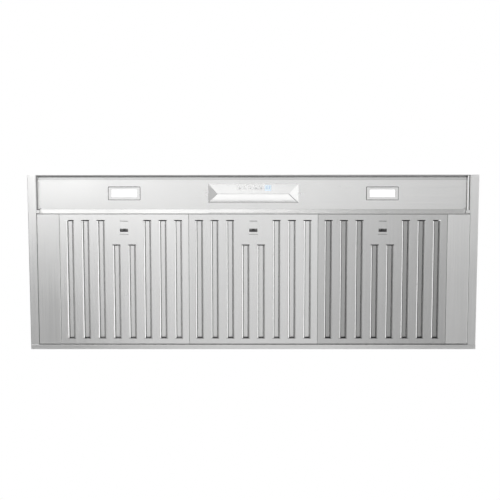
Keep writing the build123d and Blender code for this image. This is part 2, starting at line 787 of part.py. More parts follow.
with BuildPart() as motor_rotor:
    rod_along(Plane.YZ, wheel_centre, rotor_radius, core_x, core_length)
    rod_along(Plane.YZ, wheel_centre, shaft_radius + 0.02, core_x, core_length, Mode.SUBTRACT)
save(motor_rotor, "motor_rotor")

with BuildPart() as motor_stator:
    rod_along(Plane.YZ, wheel_centre, motor_radius - motor_wall - 0.05, core_x, core_length)
    rod_along(Plane.YZ, wheel_centre, rotor_radius + rotor_gap, core_x, core_length, Mode.SUBTRACT)
save(motor_stator, "motor_stator")

seat_radius = bearing_radius + 0.02
seat_wall = 3.0
with BuildPart() as motor_can:
    rod_along(Plane.YZ, wheel_centre, motor_radius, motor_x, motor_length - motor_wall)
    fillet(motor_can.edges().sort_by(Axis.X)[0], radius=4)
    inner = motor_radius - motor_wall
    rod_along(Plane.YZ, wheel_centre, inner, first_bearing_x, motor_length, Mode.SUBTRACT)
    rod_along(Plane.YZ, wheel_centre, seat_radius + seat_wall, first_bearing_x, bearing_width)
    rod_along(Plane.YZ, wheel_centre, seat_radius, first_bearing_x, bearing_width, Mode.SUBTRACT)
    rod_along(Plane.YZ, wheel_centre, shaft_radius + 0.5, motor_x, motor_wall, Mode.SUBTRACT)
save(motor_can, "motor_can")

with BuildPart() as motor_end_cap:
    rod_along(Plane.YZ, wheel_centre, motor_radius, cap_x, motor_wall)
    fillet(motor_end_cap.edges().sort_by(Axis.X)[-1], radius=1.5)
    rod_along(Plane.YZ, wheel_centre, seat_radius + seat_wall, last_bearing_x, bearing_width)
    rod_along(Plane.YZ, wheel_centre, seat_radius, last_bearing_x, bearing_width, Mode.SUBTRACT)
save(motor_end_cap, "motor_end_cap")

with BuildPart() as motor_bearings:
    for bearing_x in (first_bearing_x, last_bearing_x):
        rod_along(Plane.YZ, wheel_centre, bearing_radius, bearing_x, bearing_width)
        bore = shaft_radius + bearing_clearance
        rod_along(Plane.YZ, wheel_centre, bore, bearing_x, bearing_width, Mode.SUBTRACT)
save(motor_bearings, "motor_bearings")

with BuildPart() as motor_bracket:
    clamp_x = motor_x + 6
    clamp_width = 16.0
    arm_reach = scroll_radius - 6
    arm_width = 16.0
    arm_sheet = 3.0
    clamp_radius = motor_radius + 0.1
    bracket_plane = Plane(origin=(0, blower_y, blower_z), x_dir=(0, 1, 0), z_dir=(1, 0, 0))
    with BuildSketch(bracket_plane.offset(clamp_x)):
        Circle(clamp_radius + arm_sheet)
        Circle(clamp_radius, mode=Mode.SUBTRACT)
    extrude(amount=clamp_width)
    arm_length = arm_reach - clamp_radius - 1
    with BuildSketch(bracket_plane.offset(clamp_x)):
        with PolarLocations(clamp_radius + 1 + arm_length / 2, 3, start_angle=30):
            Rectangle(arm_length, arm_width)
    extrude(amount=arm_sheet)
    with BuildSketch(bracket_plane.offset(scroll_face_x)):
        with PolarLocations(arm_reach - arm_sheet / 2, 3, start_angle=30):
            Rectangle(arm_sheet, arm_width)
    extrude(amount=clamp_x - scroll_face_x + arm_sheet)
save(motor_bracket, "motor_bracket")

# Housing over the blower
with BuildPart() as blower_cover:
    low = (-cover_half_width, blower_cover_front_y, top_z)
    block(low, (cover_half_width, blower_cover_rear_y, blower_top_z))
    fillet(blower_cover.edges().filter_by(Axis.Z), radius=4)
    offset(amount=-shell_sheet, openings=blower_cover.faces().sort_by(Axis.Z)[0])
    with BuildSketch(Plane.XY.offset(top_z)):
        with Locations((0, cover_middle_y)):
            Rectangle(2 * (cover_half_width + cover_flange), cover_depth + 2 * cover_flange)
            inner_width = 2 * (cover_half_width - shell_sheet)
            Rectangle(inner_width, cover_depth - 2 * shell_sheet, mode=Mode.SUBTRACT)
        with Locations(*cover_screw_points):
            Circle(screw_radius + screw_clearance, mode=Mode.SUBTRACT)
    extrude(amount=shell_sheet)
    collar_bore = collar_radius - collar_wall
    with BuildSketch(Plane.XY.offset(blower_top_z)):
        with Locations((0, collar_y)):
            Circle(collar_bore)
            with PolarLocations(collar_radius + collar_flange / 2, 6):
                Circle(screw_radius + screw_clearance)
    extrude(amount=-shell_sheet, mode=Mode.SUBTRACT)
save(blower_cover, "blower_cover")

# Duct collar with the stops under the damper
collar_plane = Plane(origin=(0, collar_y, blower_top_z), x_dir=(1, 0, 0), z_dir=(0, 0, 1))
stop_gap = 0.3
with BuildPart() as duct_collar:
    with BuildSketch(collar_plane):
        Circle(collar_radius + collar_flange)
    extrude(amount=shell_sheet)
    with BuildSketch(collar_plane):
        Circle(collar_radius)
    extrude(amount=collar_height)
    with BuildSketch(collar_plane):
        Circle(collar_bore)
    extrude(amount=collar_height, mode=Mode.SUBTRACT)
    stop_top = damper_height - damper_sheet / 2 - stop_gap
    with BuildSketch(collar_plane.offset(stop_top - shell_sheet)):
        with PolarLocations(collar_bore - 2.5, 4, start_angle=45):
            Rectangle(6, 14)
    extrude(amount=shell_sheet)
    with BuildSketch(collar_plane):
        with PolarLocations(collar_radius + collar_flange / 2, 6):
            Circle(screw_radius + screw_clearance)
    extrude(amount=shell_sheet, mode=Mode.SUBTRACT)
    rod_hole = damper_rod_radius + 0.05
    rod_along(Plane.XZ.offset(-collar_y), (0, damper_z), rod_hole, -collar_radius - 1, 2 * collar_radius + 2, Mode.SUBTRACT)
save(duct_collar, "duct_collar")

with BuildPart() as damper_rod:
    rod_length = 2 * collar_radius - 1
    rod_along(Plane.XZ.offset(-collar_y), (0, damper_z), damper_rod_radius, -rod_length / 2, rod_length)
save(damper_rod, "damper_rod")

flap_radius = collar_bore - damper_rim_gap
flap_edge = damper_barrel + 0.6
knuckle_length = 18.0
knuckle_offset = 35.0


def make_flap(side, first_knuckle):
    """Half-round flap on one side of the rod, with knuckles that share the rod with the other flap's."""
    knuckles = (first_knuckle, -first_knuckle)
    with BuildPart() as flap:
        with BuildSketch(Plane.XY.offset(damper_z - damper_sheet / 2)):
            with Locations((0, collar_y)):
                Circle(flap_radius)
            with Locations((-side * (half_width - flap_edge), collar_y)):
                Rectangle(2 * half_width, 2 * half_width, mode=Mode.SUBTRACT)
            for knuckle_y in knuckles:
                with Locations((side * (flap_edge + 1), collar_y + knuckle_y)):
                    Rectangle(2 * (flap_edge + 1 - damper_rod_radius - 1), knuckle_length)
        extrude(amount=damper_sheet)
        for knuckle_y in knuckles:
            start = -knuckle_y - knuckle_length / 2
            plane = Plane.XZ.offset(-collar_y)
            rod_along(plane, (0, damper_z), damper_barrel, start, knuckle_length)
            bore = damper_rod_radius + damper_clearance
            rod_along(plane, (0, damper_z), bore, start, knuckle_length, Mode.SUBTRACT)
    return flap


save(make_flap(-1, 2 * knuckle_offset), "left_damper_flap")
save(make_flap(1, knuckle_offset), "right_damper_flap")

# Lamps: bezel with its collar through the plate, lens, housing above, gasket under the bezel
with BuildPart() as lamp_bezels:
    for lamp_x, lamp_y in lamp_points:
        with BuildSketch(Plane.XY.offset(recess_height - bezel_proud)):
            with Locations((lamp_x, lamp_y)):
                RectangleRounded(bezel_length, bezel_width, 1.5)
        extrude(amount=bezel_proud - trim_sheet / 2)
        with BuildSketch(floor_plane.offset(-trim_sheet / 2)):
            with Locations((lamp_x, lamp_y)):
                Rectangle(lamp_opening_length - 0.4, lamp_opening_width - 0.4)
        extrude(amount=lamp_collar)
    with BuildSketch(Plane.XY.offset(recess_height - bezel_proud)):
        with Locations(*lamp_points):
            Rectangle(lens_length, lens_width)
    extrude(amount=lamp_collar + bezel_proud, mode=Mode.SUBTRACT)
    low_face_edges = lamp_bezels.edges().filter_by_position(Axis.Z, recess_height - bezel_proud - 0.01,
                                                            recess_height - bezel_proud + 0.01)
    chamfer(low_face_edges, length=0.4)
save(lamp_bezels, "lamp_bezels")

with BuildPart() as lamp_gaskets:
    with BuildSketch(floor_plane):
        with Locations(*lamp_points):
            gasket_length = bezel_length + 2 * gasket_edge
            RectangleRounded(gasket_length, bezel_width + 2 * gasket_edge, 2)
            Rectangle(lamp_opening_length, lamp_opening_width, mode=Mode.SUBTRACT)
    extrude(amount=-trim_sheet / 2)
save(lamp_gaskets, "lamp_gaskets")

lens_foot = recess_height - bezel_proud + 0.5
lens_sheet = 3.0
with BuildPart() as lamp_lenses:
    with BuildSketch(Plane.XY.offset(lens_foot)):
        with Locations(*lamp_points):
            Rectangle(lens_length - 0.2, lens_width - 0.2)
    extrude(amount=lens_sheet)
save(lamp_lenses, "lamp_lenses")

lamp_housing_foot = recess_height - trim_sheet / 2 + lamp_collar
lamp_housing_height = 14.0
with BuildPart() as lamp_housings:
    with BuildSketch(Plane.XY.offset(lamp_housing_foot)):
        with Locations(*lamp_points):
            Rectangle(lamp_opening_length - 0.4, lamp_opening_width - 0.4)
    extrude(amount=lamp_housing_height)
    with BuildSketch(Plane.XY.offset(lamp_housing_foot)):
        with Locations(*lamp_points):
            Rectangle(lens_length, lens_width)
    extrude(amount=lamp_housing_height - lamp_wall, mode=Mode.SUBTRACT)
    for i in range(-3, 4, 2):
        with BuildSketch(Plane.XY.offset(lamp_housing_foot + lamp_housing_height)):
            with Locations(*[(x + i * 9, y) for x, y in lamp_points]):
                Rectangle(2, lamp_opening_width - 6)
        extrude(amount=4)
save(lamp_housings, "lamp_housings")

# Control pod: hipped shell, its buttons on the front facet, display window and boards
slope_angle = degrees(atan(2 * pod_height / pod_width))
taper_angle = 90 - slope_angle
facet_tilt = radians(slope_angle)
facet_middle = (0, strip_centre_y - pod_width / 4, recess_height - pod_height / 2)
facet_plane = Plane(origin=facet_middle, x_dir=(1, 0, 0), z_dir=(0, -sin(facet_tilt), -cos(facet_tilt)))
button_offsets = [button_row + (i - 2) * button_pitch for i in range(5)]
button_points = [(x, button_shift) for x in button_offsets]
display_x = button_offsets[-1] + button_length / 2 + display_gap
button_flange_top = pod_wall + 0.25
button_flange_sheet = 1.0
switch_top = button_flange_top + button_flange_sheet + button_travel + 0.35
switch_height = 3.0
board_top = switch_top + switch_height
board_half = 65.0
boss_x = 58.0
with BuildPart() as control_pod:
    with BuildSketch(floor_plane):
        with Locations((0, strip_centre_y)):
            Rectangle(pod_length, pod_width)
    extrude(amount=-(pod_height - ridge_flat), taper=taper_angle)
    with BuildSketch(floor_plane):
        with Locations((0, strip_centre_y)):
            Rectangle(pod_length + 2 * tab_length, tab_width)
    extrude(amount=-tab_sheet)
    inner_shift = pod_wall / sin(facet_tilt)
    inner_drop = pod_wall / cos(facet_tilt)
    with BuildSketch(floor_plane):
        with Locations((0, strip_centre_y)):
            Rectangle(pod_length - 2 * inner_shift, pod_width - 2 * inner_shift)
    extrude(amount=-(pod_height - ridge_flat - inner_drop), taper=taper_angle, mode=Mode.SUBTRACT)
    with BuildSketch(facet_plane.offset(1)):
        with Locations(*button_points):
            gap = 2 * button_clearance
            RectangleRounded(button_length + gap, button_width + gap, 1.5)
        with Locations((display_x, display_shift)):
            Rectangle(display_length, display_width)
    extrude(amount=-pod_wall - 3, mode=Mode.SUBTRACT)
    with BuildSketch(facet_plane.offset(-pod_wall + 0.2)):
        with Locations((-boss_x, 0), (boss_x, 0)):
            Circle(2.5)
    extrude(amount=-(board_top - pod_wall + 0.2))
save(control_pod, "control_pod")

with BuildPart() as display_window:
    with BuildSketch(facet_plane):
        with Locations((display_x, display_shift)):
            Rectangle(display_length - 0.2, display_width - 0.2)
    extrude(amount=-pod_wall + 0.4)
save(display_window, "display_window")

with BuildPart() as button_board:
    with BuildSketch(facet_plane.offset(-board_top)):
        Rectangle(2 * board_half, 12)
    extrude(amount=-board_sheet)
    with BuildSketch(facet_plane.offset(-board_top)):
        with Locations(*button_points):
            Rectangle(6, 6)
    extrude(amount=switch_height - 0.8)
    with BuildSketch(facet_plane.offset(-board_top)):
        with Locations(*button_points):
            Circle(1.7)
    extrude(amount=switch_height)
save(button_board, "button_board")

button_names = ["power_button", "slower_button", "faster_button", "timer_button", "light_button"]
for button_name, button_point in zip(button_names, button_points):
    with BuildPart() as button:
        with BuildSketch(facet_plane.offset(-button_flange_top)):
            with Locations(button_point):
                RectangleRounded(button_length, button_width, 1.4)
        extrude(amount=button_flange_top + button_proud)
        fillet(button.faces().sort_by(Axis.Z)[0].edges(), radius=0.3)
        with BuildSketch(facet_plane.offset(-button_flange_top)):
            with Locations(button_point):
                RectangleRounded(button_length + button_collar, button_width + button_collar, 1.4)
        extrude(amount=-button_flange_sheet)
    save(button, button_name)

# Electrics in the front compartment
with BuildPart() as control_board:
    board_z = plate_top_z + board_standoff
    board_foot = Plane.XY.offset(board_z)
    board_face = Plane.XY.offset(board_z + board_sheet)
    board_centre = (0, strip_centre_y)
    with BuildSketch(board_foot):
        with Locations(board_centre):
            Rectangle(board_length, board_width)
    extrude(amount=board_sheet)
    with BuildSketch(board_foot):
        with Locations(board_centre):
            with GridLocations(board_length - 4 * standoff_radius, board_width - 4 * standoff_radius, 2, 2):
                Circle(standoff_radius)
    extrude(amount=-board_standoff)
    with BuildSketch(board_face):
        with Locations((-board_length * 0.35, strip_centre_y)):
            Rectangle(transformer_length, transformer_width)
    extrude(amount=transformer_height)
    with BuildSketch(board_face):
        with Locations((-board_length * 0.15, strip_centre_y), (-board_length * 0.04, strip_centre_y)):
            Rectangle(relay_size, relay_size)
    extrude(amount=relay_size)
    with BuildSketch(board_face):
        with Locations((board_length * 0.13, strip_centre_y), (board_length * 0.24, strip_centre_y)):
            Circle(relay_size / 2)
    extrude(amount=relay_size)
save(control_board, "control_board")

with BuildPart() as motor_capacitor:
    capacitor_x = board_length / 2 + capacitor_length
    capacitor_z = plate_top_z + capacitor_radius + capacitor_foot / 2
    rod_along(Plane.YZ, (strip_centre_y, capacitor_z), capacitor_radius, capacitor_x, capacitor_length)
    fillet(motor_capacitor.edges().filter_by(GeomType.CIRCLE), radius=capacitor_foot)
    foot_x = capacitor_x + capacitor_length / 2
    foot_half = capacitor_radius * 0.65
    low = (foot_x - foot_half, strip_centre_y - 2 * foot_half, plate_top_z)
    block(low, (foot_x + foot_half, strip_centre_y + 2 * foot_half, plate_top_z + capacitor_foot))
save(motor_capacitor, "motor_capacitor")

# Junction box on the top panel, its cover and the gland that the supply cable enters by
with BuildPart() as junction_box:
    low_x = junction_x - junction_length / 2
    low_y = junction_y - junction_width / 2
    block((low_x, low_y, top_z), (low_x + junction_length, low_y + junction_width, top_z + junction_height))
    fillet(junction_box.edges().filter_by(Axis.Z), radius=2)
    offset(amount=-shell_sheet, openings=junction_box.faces().sort_by(Axis.Z)[-1])
    ear = 10.0
    ear_z = top_z + junction_height
    for side in (-1, 1):
        with Locations((junction_x + side * (junction_length / 2 - shell_sheet), junction_y, ear_z)):
            align = (Align.MAX if side > 0 else Align.MIN, Align.CENTER, Align.MAX)
            Box(ear, 14, 3 * shell_sheet, align=align)
    gland_z = top_z + junction_height / 2
    rod_along(Plane.YZ, (junction_y, gland_z), gland_radius + 0.1, low_x, shell_sheet, Mode.SUBTRACT)
    ear_points = [(junction_x + side * (junction_length / 2 - 6), junction_y) for side in (-1, 1)]
    with BuildSketch(Plane.XY.offset(ear_z)):
        with Locations(*ear_points):
            Circle(screw_radius + screw_clearance)
    extrude(amount=-3 * shell_sheet, mode=Mode.SUBTRACT)
save(junction_box, "junction_box")

with BuildPart() as junction_cover:
    with BuildSketch(Plane.XY.offset(ear_z)):
        with Locations((junction_x, junction_y)):
            RectangleRounded(junction_length, junction_width, 2)
        with Locations(*ear_points):
            Circle(screw_radius + screw_clearance, mode=Mode.SUBTRACT)
    extrude(amount=shell_sheet)
save(junction_cover, "junction_cover")

with BuildPart() as cable_gland:
    gland_centre = (junction_y, gland_z)
    gland_flange = gland_radius + 4
    rod_along(Plane.YZ, gland_centre, gland_radius, low_x - 16, 16 + shell_sheet + 8)
    with BuildSketch(Plane.YZ.offset(low_x)):
        with Locations(gland_centre):
            RegularPolygon(gland_flange, 6)
    extrude(amount=-6)
    with BuildSketch(Plane.YZ.offset(low_x + shell_sheet)):
        with Locations(gland_centre):
            RegularPolygon(gland_flange, 6)
    extrude(amount=5)
    fillet(cable_gland.edges().filter_by(GeomType.CIRCLE).sort_by(Axis.X)[0], radius=2.5)
    rod_along(Plane.YZ, gland_centre, gland_bore, low_x - 20, 40, Mode.SUBTRACT)
save(cable_gland, "cable_gland")

# Screws and rivets
with BuildPart() as pan_screw:
    with BuildSketch(Plane.XY):
        Circle(screw_head)
    extrude(amount=screw_head_height)
    fillet(pan_screw.edges().sort_by(Axis.Z)[-1], radius=screw_head_height * 0.6)
    with BuildSketch(Plane.XY.offset(screw_head_height)):
        Rectangle(screw_head * 1.2, screw_head / 4)
        Rectangle(screw_head / 4, screw_head * 1.2)
    extrude(amount=-screw_head_height / 2, mode=Mode.SUBTRACT)
    with BuildSketch(Plane.XY):
        Circle(screw_radius)
    extrude(amount=-screw_length)

with BuildPart() as rivet:
    with BuildSketch(Plane.XY):
        Circle(screw_head)
    extrude(amount=rivet_head_height)
    fillet(rivet.edges().sort_by(Axis.Z)[-1], radius=rivet_head_height * 0.85)
    with BuildSketch(Plane.XY):
        Circle(screw_radius)
    extrude(amount=-shell_sheet)

with BuildPart() as shell_screws:
    cover_head_z = top_z + shell_sheet
    with Locations(*[(x, y, cover_head_z) for x, y in cover_screw_points]):
        add(pan_screw.part)
    with Locations(Location((0, collar_y, blower_top_z + shell_sheet))):
        with PolarLocations(collar_radius + collar_flange / 2, 6):
            add(pan_screw.part)
    with Locations(*[(x, y, ear_z + shell_sheet) for x, y in ear_points]):
        add(pan_screw.part)
    with Locations(*[(x, y, top_z) for x, y in rivet_points]):
        add(rivet.part)
    filler_screw_x = filler_outer_x - trim_sheet
    for hole_y in filler_screw_y:
        with Locations(Location((filler_screw_x, hole_y, filler_screw_z), (0, -90, 0))):
            add(pan_screw.part)
        with Locations(Location((-filler_screw_x, hole_y, filler_screw_z), (0, 90, 0))):
            add(pan_screw.part)
save(shell_screws, "shell_screws")
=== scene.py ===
import math
import bpy
import bmesh
from mathutils import Matrix, Vector


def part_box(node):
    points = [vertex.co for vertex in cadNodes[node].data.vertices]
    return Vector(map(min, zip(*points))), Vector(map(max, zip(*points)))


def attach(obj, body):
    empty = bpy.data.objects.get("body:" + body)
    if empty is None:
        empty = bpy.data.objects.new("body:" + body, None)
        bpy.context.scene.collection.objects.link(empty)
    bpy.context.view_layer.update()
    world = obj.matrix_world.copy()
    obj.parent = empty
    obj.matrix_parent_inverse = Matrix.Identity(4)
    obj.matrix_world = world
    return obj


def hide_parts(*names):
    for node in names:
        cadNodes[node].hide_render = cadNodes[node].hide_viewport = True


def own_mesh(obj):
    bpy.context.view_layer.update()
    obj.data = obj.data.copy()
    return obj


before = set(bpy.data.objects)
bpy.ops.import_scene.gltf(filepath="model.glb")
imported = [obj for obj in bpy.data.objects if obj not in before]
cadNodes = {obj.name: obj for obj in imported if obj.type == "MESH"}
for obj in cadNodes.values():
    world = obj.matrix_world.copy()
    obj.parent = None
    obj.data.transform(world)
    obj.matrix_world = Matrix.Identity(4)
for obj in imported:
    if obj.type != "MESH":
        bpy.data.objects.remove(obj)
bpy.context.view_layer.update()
print("hood frame loaded:", len(cadNodes), "pieces")


# Small helpers for node trees
def addNode(tree, kind, **settings):
    node = tree.nodes.new(kind)
    for name, value in settings.items():
        setattr(node, name, value)
    return node


def setInputs(node, **values):
    for name, value in values.items():
        node.inputs[name.replace("_", " ")].default_value = value


def join(tree, source, target):
    tree.links.new(source, target)


def addMath(tree, operation, first, second):
    node = addNode(tree, "ShaderNodeMath", operation=operation)
    for socket, value in zip(node.inputs, (first, second)):
        if isinstance(value, (int, float)):
            socket.default_value = value
        else:
            join(tree, value, socket)
    return node.outputs[0]


def remap(tree, value, low, high):
    node = addNode(tree, "ShaderNodeMapRange")
    join(tree, value, node.inputs["Value"])
    setInputs(node, To_Min=low, To_Max=high)
    return node.outputs["Result"]


def mixColours(tree, factor, first, second, blend="MIX"):
    node = addNode(tree, "ShaderNodeMix", data_type="RGBA", blend_type=blend)
    for socket, value in zip((node.inputs[0], node.inputs[6], node.inputs[7]), (factor, first, second)):
        if isinstance(value, (int, float)):
            socket.default_value = value
        elif isinstance(value, (tuple, list)):
            socket.default_value = (*value, 1.0)
        else:
            join(tree, value, socket)
    return node.outputs[2]


def newGroup(name, inputs, outputs):
    group = bpy.data.node_groups.new(name, "ShaderNodeTree")
    for label, kind, value in inputs:
        socket = group.interface.new_socket(name=label, in_out="INPUT", socket_type=kind)
        socket.default_value = value
    for label, kind in outputs:
        group.interface.new_socket(name=label, in_out="OUTPUT", socket_type=kind)
    return group, addNode(group, "NodeGroupInput"), addNode(group, "NodeGroupOutput")


def noiseAt(tree, vector, scale, detail=2.0, roughness=0.5):
    node = addNode(tree, "ShaderNodeTexNoise")
    setInputs(node, Scale=scale, Detail=detail, Roughness=roughness)
    join(tree, vector, node.inputs["Vector"])
    return node.outputs["Fac"]


def scaledVector(tree, vector, factor):
    node = addNode(tree, "ShaderNodeVectorMath", operation="SCALE")
    join(tree, vector, node.inputs[0])
    if isinstance(factor, (int, float)):
        node.inputs["Scale"].default_value = factor
    else:
        join(tree, factor, node.inputs["Scale"])
    return node.outputs[0]


# Finishes that several materials share; a noise is (scale, detail, roughness), a span is (low, high)
brushNoise = {"fine": (1.0, 3.0, 0.7), "broad": (1.0, 2.0, 0.6), "cloud": (5.5, 3.0, 0.55),
              "broadShare": 0.11, "streakSpan": (-0.35, 1.35), "cloudSpan": (-0.4, 1.4)}
spangleNoise = {"wobble": 60.0, "wobbleDetail": 2.0, "wobbleReach": 0.006, "bloom": (9.0, 4.0, 0.6),
                "grain": (700.0, 2.0)}
skinNoise = {"pebble": (1.0, 2.0), "patch": (22.0, 3.0)}


def makeBrushGroup(noise):
    group, given, result = newGroup(
        "brushedLines",
        [("Lines", "NodeSocketFloat", 1800.0), ("Run", "NodeSocketVector", (0.02, 1.0, 1.0))],
        [("Height", "NodeSocketFloat"), ("Streak", "NodeSocketFloat"), ("Cloud", "NodeSocketFloat")])
    place = addNode(group, "ShaderNodeTexCoord")
    drawn = addNode(group, "ShaderNodeVectorMath", operation="MULTIPLY")
    join(group, place.outputs["Object"], drawn.inputs[0])
    join(group, given.outputs["Run"], drawn.inputs[1])
    fine = noiseAt(group, scaledVector(group, drawn.outputs[0], given.outputs["Lines"]), *noise["fine"])
    wideLines = addMath(group, "MULTIPLY", given.outputs["Lines"], noise["broadShare"])
    broad = noiseAt(group, scaledVector(group, drawn.outputs[0], wideLines), *noise["broad"])
    cloud = noiseAt(group, place.outputs["Object"], *noise["cloud"])
    join(group, fine, result.inputs["Height"])
    join(group, remap(group, broad, *noise["streakSpan"]), result.inputs["Streak"])
    join(group, remap(group, cloud, *noise["cloudSpan"]), result.inputs["Cloud"])
    return group


def makeSpangleGroup(noise):
    group, given, result = newGroup(
        "zincSpangle", [("Flakes", "NodeSocketFloat", 95.0)],
        [("Flake", "NodeSocketFloat"), ("Height", "NodeSocketFloat"), ("Bloom", "NodeSocketFloat")])
    place = addNode(group, "ShaderNodeTexCoord")
    wobble = addNode(group, "ShaderNodeTexNoise")
    setInputs(wobble, Scale=noise["wobble"], Detail=noise["wobbleDetail"])
    join(group, place.outputs["Object"], wobble.inputs["Vector"])
    shifted = addNode(group, "ShaderNodeVectorMath", operation="ADD")
    join(group, place.outputs["Object"], shifted.inputs[0])
    join(group, scaledVector(group, wobble.outputs["Color"], noise["wobbleReach"]), shifted.inputs[1])
    cells = addNode(group, "ShaderNodeTexVoronoi", feature="F1")
    join(group, shifted.outputs[0], cells.inputs["Vector"])
    join(group, given.outputs["Flakes"], cells.inputs["Scale"])
    parted = addNode(group, "ShaderNodeSeparateColor")
    join(group, cells.outputs["Color"], parted.inputs[0])
    bloom = noiseAt(group, place.outputs["Object"], *noise["bloom"])
    join(group, parted.outputs[0], result.inputs["Flake"])
    join(group, noiseAt(group, place.outputs["Object"], *noise["grain"]), result.inputs["Height"])
    join(group, bloom, result.inputs["Bloom"])
    return group


def makeSkinGroup(noise):
    group, given, result = newGroup(
        "mouldedSkin", [("Pebble", "NodeSocketFloat", 900.0)],
        [("Height", "NodeSocketFloat"), ("Patch", "NodeSocketFloat")])
    place = addNode(group, "ShaderNodeTexCoord")
    spread = scaledVector(group, place.outputs["Object"], given.outputs["Pebble"])
    join(group, noiseAt(group, spread, *noise["pebble"]), result.inputs["Height"])
    join(group, noiseAt(group, place.outputs["Object"], *noise["patch"]), result.inputs["Patch"])
    return group


brushGroup = makeBrushGroup(brushNoise)
spangleGroup = makeSpangleGroup(spangleNoise)
skinGroup = makeSkinGroup(skinNoise)


def startMaterial(name):
    material = bpy.data.materials.new(name)
    material.use_nodes = True
    tree = material.node_tree
    return material, tree, tree.nodes["Principled BSDF"]


def placeGroup(tree, group, **values):
    node = addNode(tree, "ShaderNodeGroup", node_tree=group)
    setInputs(node, **values)
    return node


def addBump(tree, shader, height, distance, strength=1.0):
    bump = addNode(tree, "ShaderNodeBump")
    setInputs(bump, Strength=strength, Distance=distance)
    join(tree, height, bump.inputs["Height"])
    join(tree, bump.outputs["Normal"], shader.inputs["Normal"])


# Brush lines are long along one axis and fine across the other two
runAlong = {"x": (0.016, 1.0, 1.0), "y": (1.0, 0.016, 1.0), "z": (1.0, 1.0, 0.016)}


def brushedMetal(name, look):
    material, tree, shader = startMaterial(name)
    lines = placeGroup(tree, brushGroup, Lines=look["lines"], Run=runAlong[look["along"]])
    darker = tuple(channel * (1 - look["contrast"]) for channel in look["colour"])
    join(tree, mixColours(tree, lines.outputs["Streak"], darker, look["colour"]), shader.inputs["Base Color"])
    streaky = remap(tree, lines.outputs["Streak"], -look["roughSpread"], look["roughSpread"])
    cloudy = remap(tree, lines.outputs["Cloud"], look["rough"] - look["smear"], look["rough"] + look["smear"])
    join(tree, addMath(tree, "ADD", cloudy, streaky), shader.inputs["Roughness"])
    setInputs(shader, Metallic=1.0)
    addBump(tree, shader, lines.outputs["Height"], look["depth"])
    return material


# Painted shade above a height: a second tone for the inner faces of a sheet and for the flat return of the
# lip
def shadeAbove(material, height, tone, blend=0.0006):
    tree = material.node_tree
    shader = tree.nodes["Principled BSDF"]
    brushed = shader.inputs["Base Color"].links[0].from_socket
    place = addNode(tree, "ShaderNodeTexCoord")
    parts = addNode(tree, "ShaderNodeSeparateXYZ")
    join(tree, place.outputs["Object"], parts.inputs[0])
    above = addNode(tree, "ShaderNodeMapRange")
    setInputs(above, From_Min=height, From_Max=height + blend)
    join(tree, parts.outputs["Z"], above.inputs["Value"])
    second = mixColours(tree, 1.0, brushed, (tone, tone, tone), "MULTIPLY")
    join(tree, mixColours(tree, above.outputs["Result"], brushed, second), shader.inputs["Base Color"])
    return material


# How far the roughness of each finish varies to either side
roughVary = {"zinc": 0.07, "plastic": 0.05, "lens": 0.04}


def addRoughness(tree, shader, mask, rough, spread):
    join(tree, remap(tree, mask, rough - spread, rough + spread), shader.inputs["Roughness"])


def zincSheet(name, look):
    material, tree, shader = startMaterial(name)
    flakes = placeGroup(tree, spangleGroup, Flakes=look["flakes"])
    base = mixColours(tree, flakes.outputs["Flake"], look["dark"], look["light"])
    bloomed = mixColours(tree, remap(tree, flakes.outputs["Bloom"], 0.0, look["bloom"]), base, look["haze"])
    join(tree, bloomed, shader.inputs["Base Color"])
    addRoughness(tree, shader, flakes.outputs["Flake"], look["rough"], roughVary["zinc"])
    setInputs(shader, Metallic=1.0)
    addBump(tree, shader, flakes.outputs["Height"], look["depth"])
    return material


def mouldedPlastic(name, look):
    material, tree, shader = startMaterial(name)
    skin = placeGroup(tree, skinGroup, Pebble=look["pebble"])
    worn = tuple(min(1.0, channel * (1 + look["fade"])) for channel in look["colour"])
    join(tree, mixColours(tree, skin.outputs["Patch"], look["colour"], worn), shader.inputs["Base Color"])
    addRoughness(tree, shader, skin.outputs["Patch"], look["rough"], roughVary["plastic"])
    setInputs(shader, Metallic=look.get("metallic", 0.0))
    addBump(tree, shader, skin.outputs["Height"], look["depth"])
    return material


def litLens(name, look):
    material, tree, shader = startMaterial(name)
    skin = placeGroup(tree, skinGroup, Pebble=look["pebble"])
    setInputs(shader, Transmission_Weight=0.0, Metallic=0.0, Emission_Strength=look["strength"])
    tint = mixColours(tree, skin.outputs["Patch"], look["colour"], look["edge"])
    join(tree, tint, shader.inputs["Base Color"])
    join(tree, mixColours(tree, skin.outputs["Patch"], look["glow"], look["colour"]),
         shader.inputs["Emission Color"])
    addRoughness(tree, shader, skin.outputs["Patch"], look["rough"], roughVary["lens"])
    addBump(tree, shader, skin.outputs["Height"], look["depth"])
    return material


def dress(material, *names):
    for name in names:
        slots = cadNodes[name].data.materials
        slots.clear()
        slots.append(material)


# Stainless faces that show from below; the tones of the three filters differ as painted shade
steelLook = {"colour": (0.815, 0.815, 0.81), "contrast": 0.06, "rough": 0.24, "roughSpread": 0.03,
             "smear": 0.03, "lines": 1800.0, "depth": 0.00001, "along": "x"}
steelDeepLook = {**steelLook, "colour": (0.84, 0.84, 0.835), "along": "y"}
dress(brushedMetal("brushedSteelAcross", steelLook), "control_plate", "rear_trim")
dress(brushedMetal("brushedSteelDeep", steelDeepLook),
      "left_end_panel", "right_end_panel", "left_filler_panel", "right_filler_panel")
# Painted shade: one steel for all three filters, given as lit and shaded copies, lighter on the left and
# darker on the right; the channels seen through the slots are darker than the faces in front of them
filterShadeTones = {"left": {"face": 0.89, "channel": 0.88},
               "middle": {"face": 0.82, "channel": 0.80},
               "right": {"face": 0.655, "channel": 0.48}}
innerShadeLook = {"faceFrom": 0.0085, "latchFrom": 0.0014, "tone": 0.25}  # painted shade, darker on the inner faces of the slots and behind the latch window
warmShare = 0.995  # blue of a warm grey, against its red and green


def warmGrey(tone):
    return tone, tone, tone * warmShare


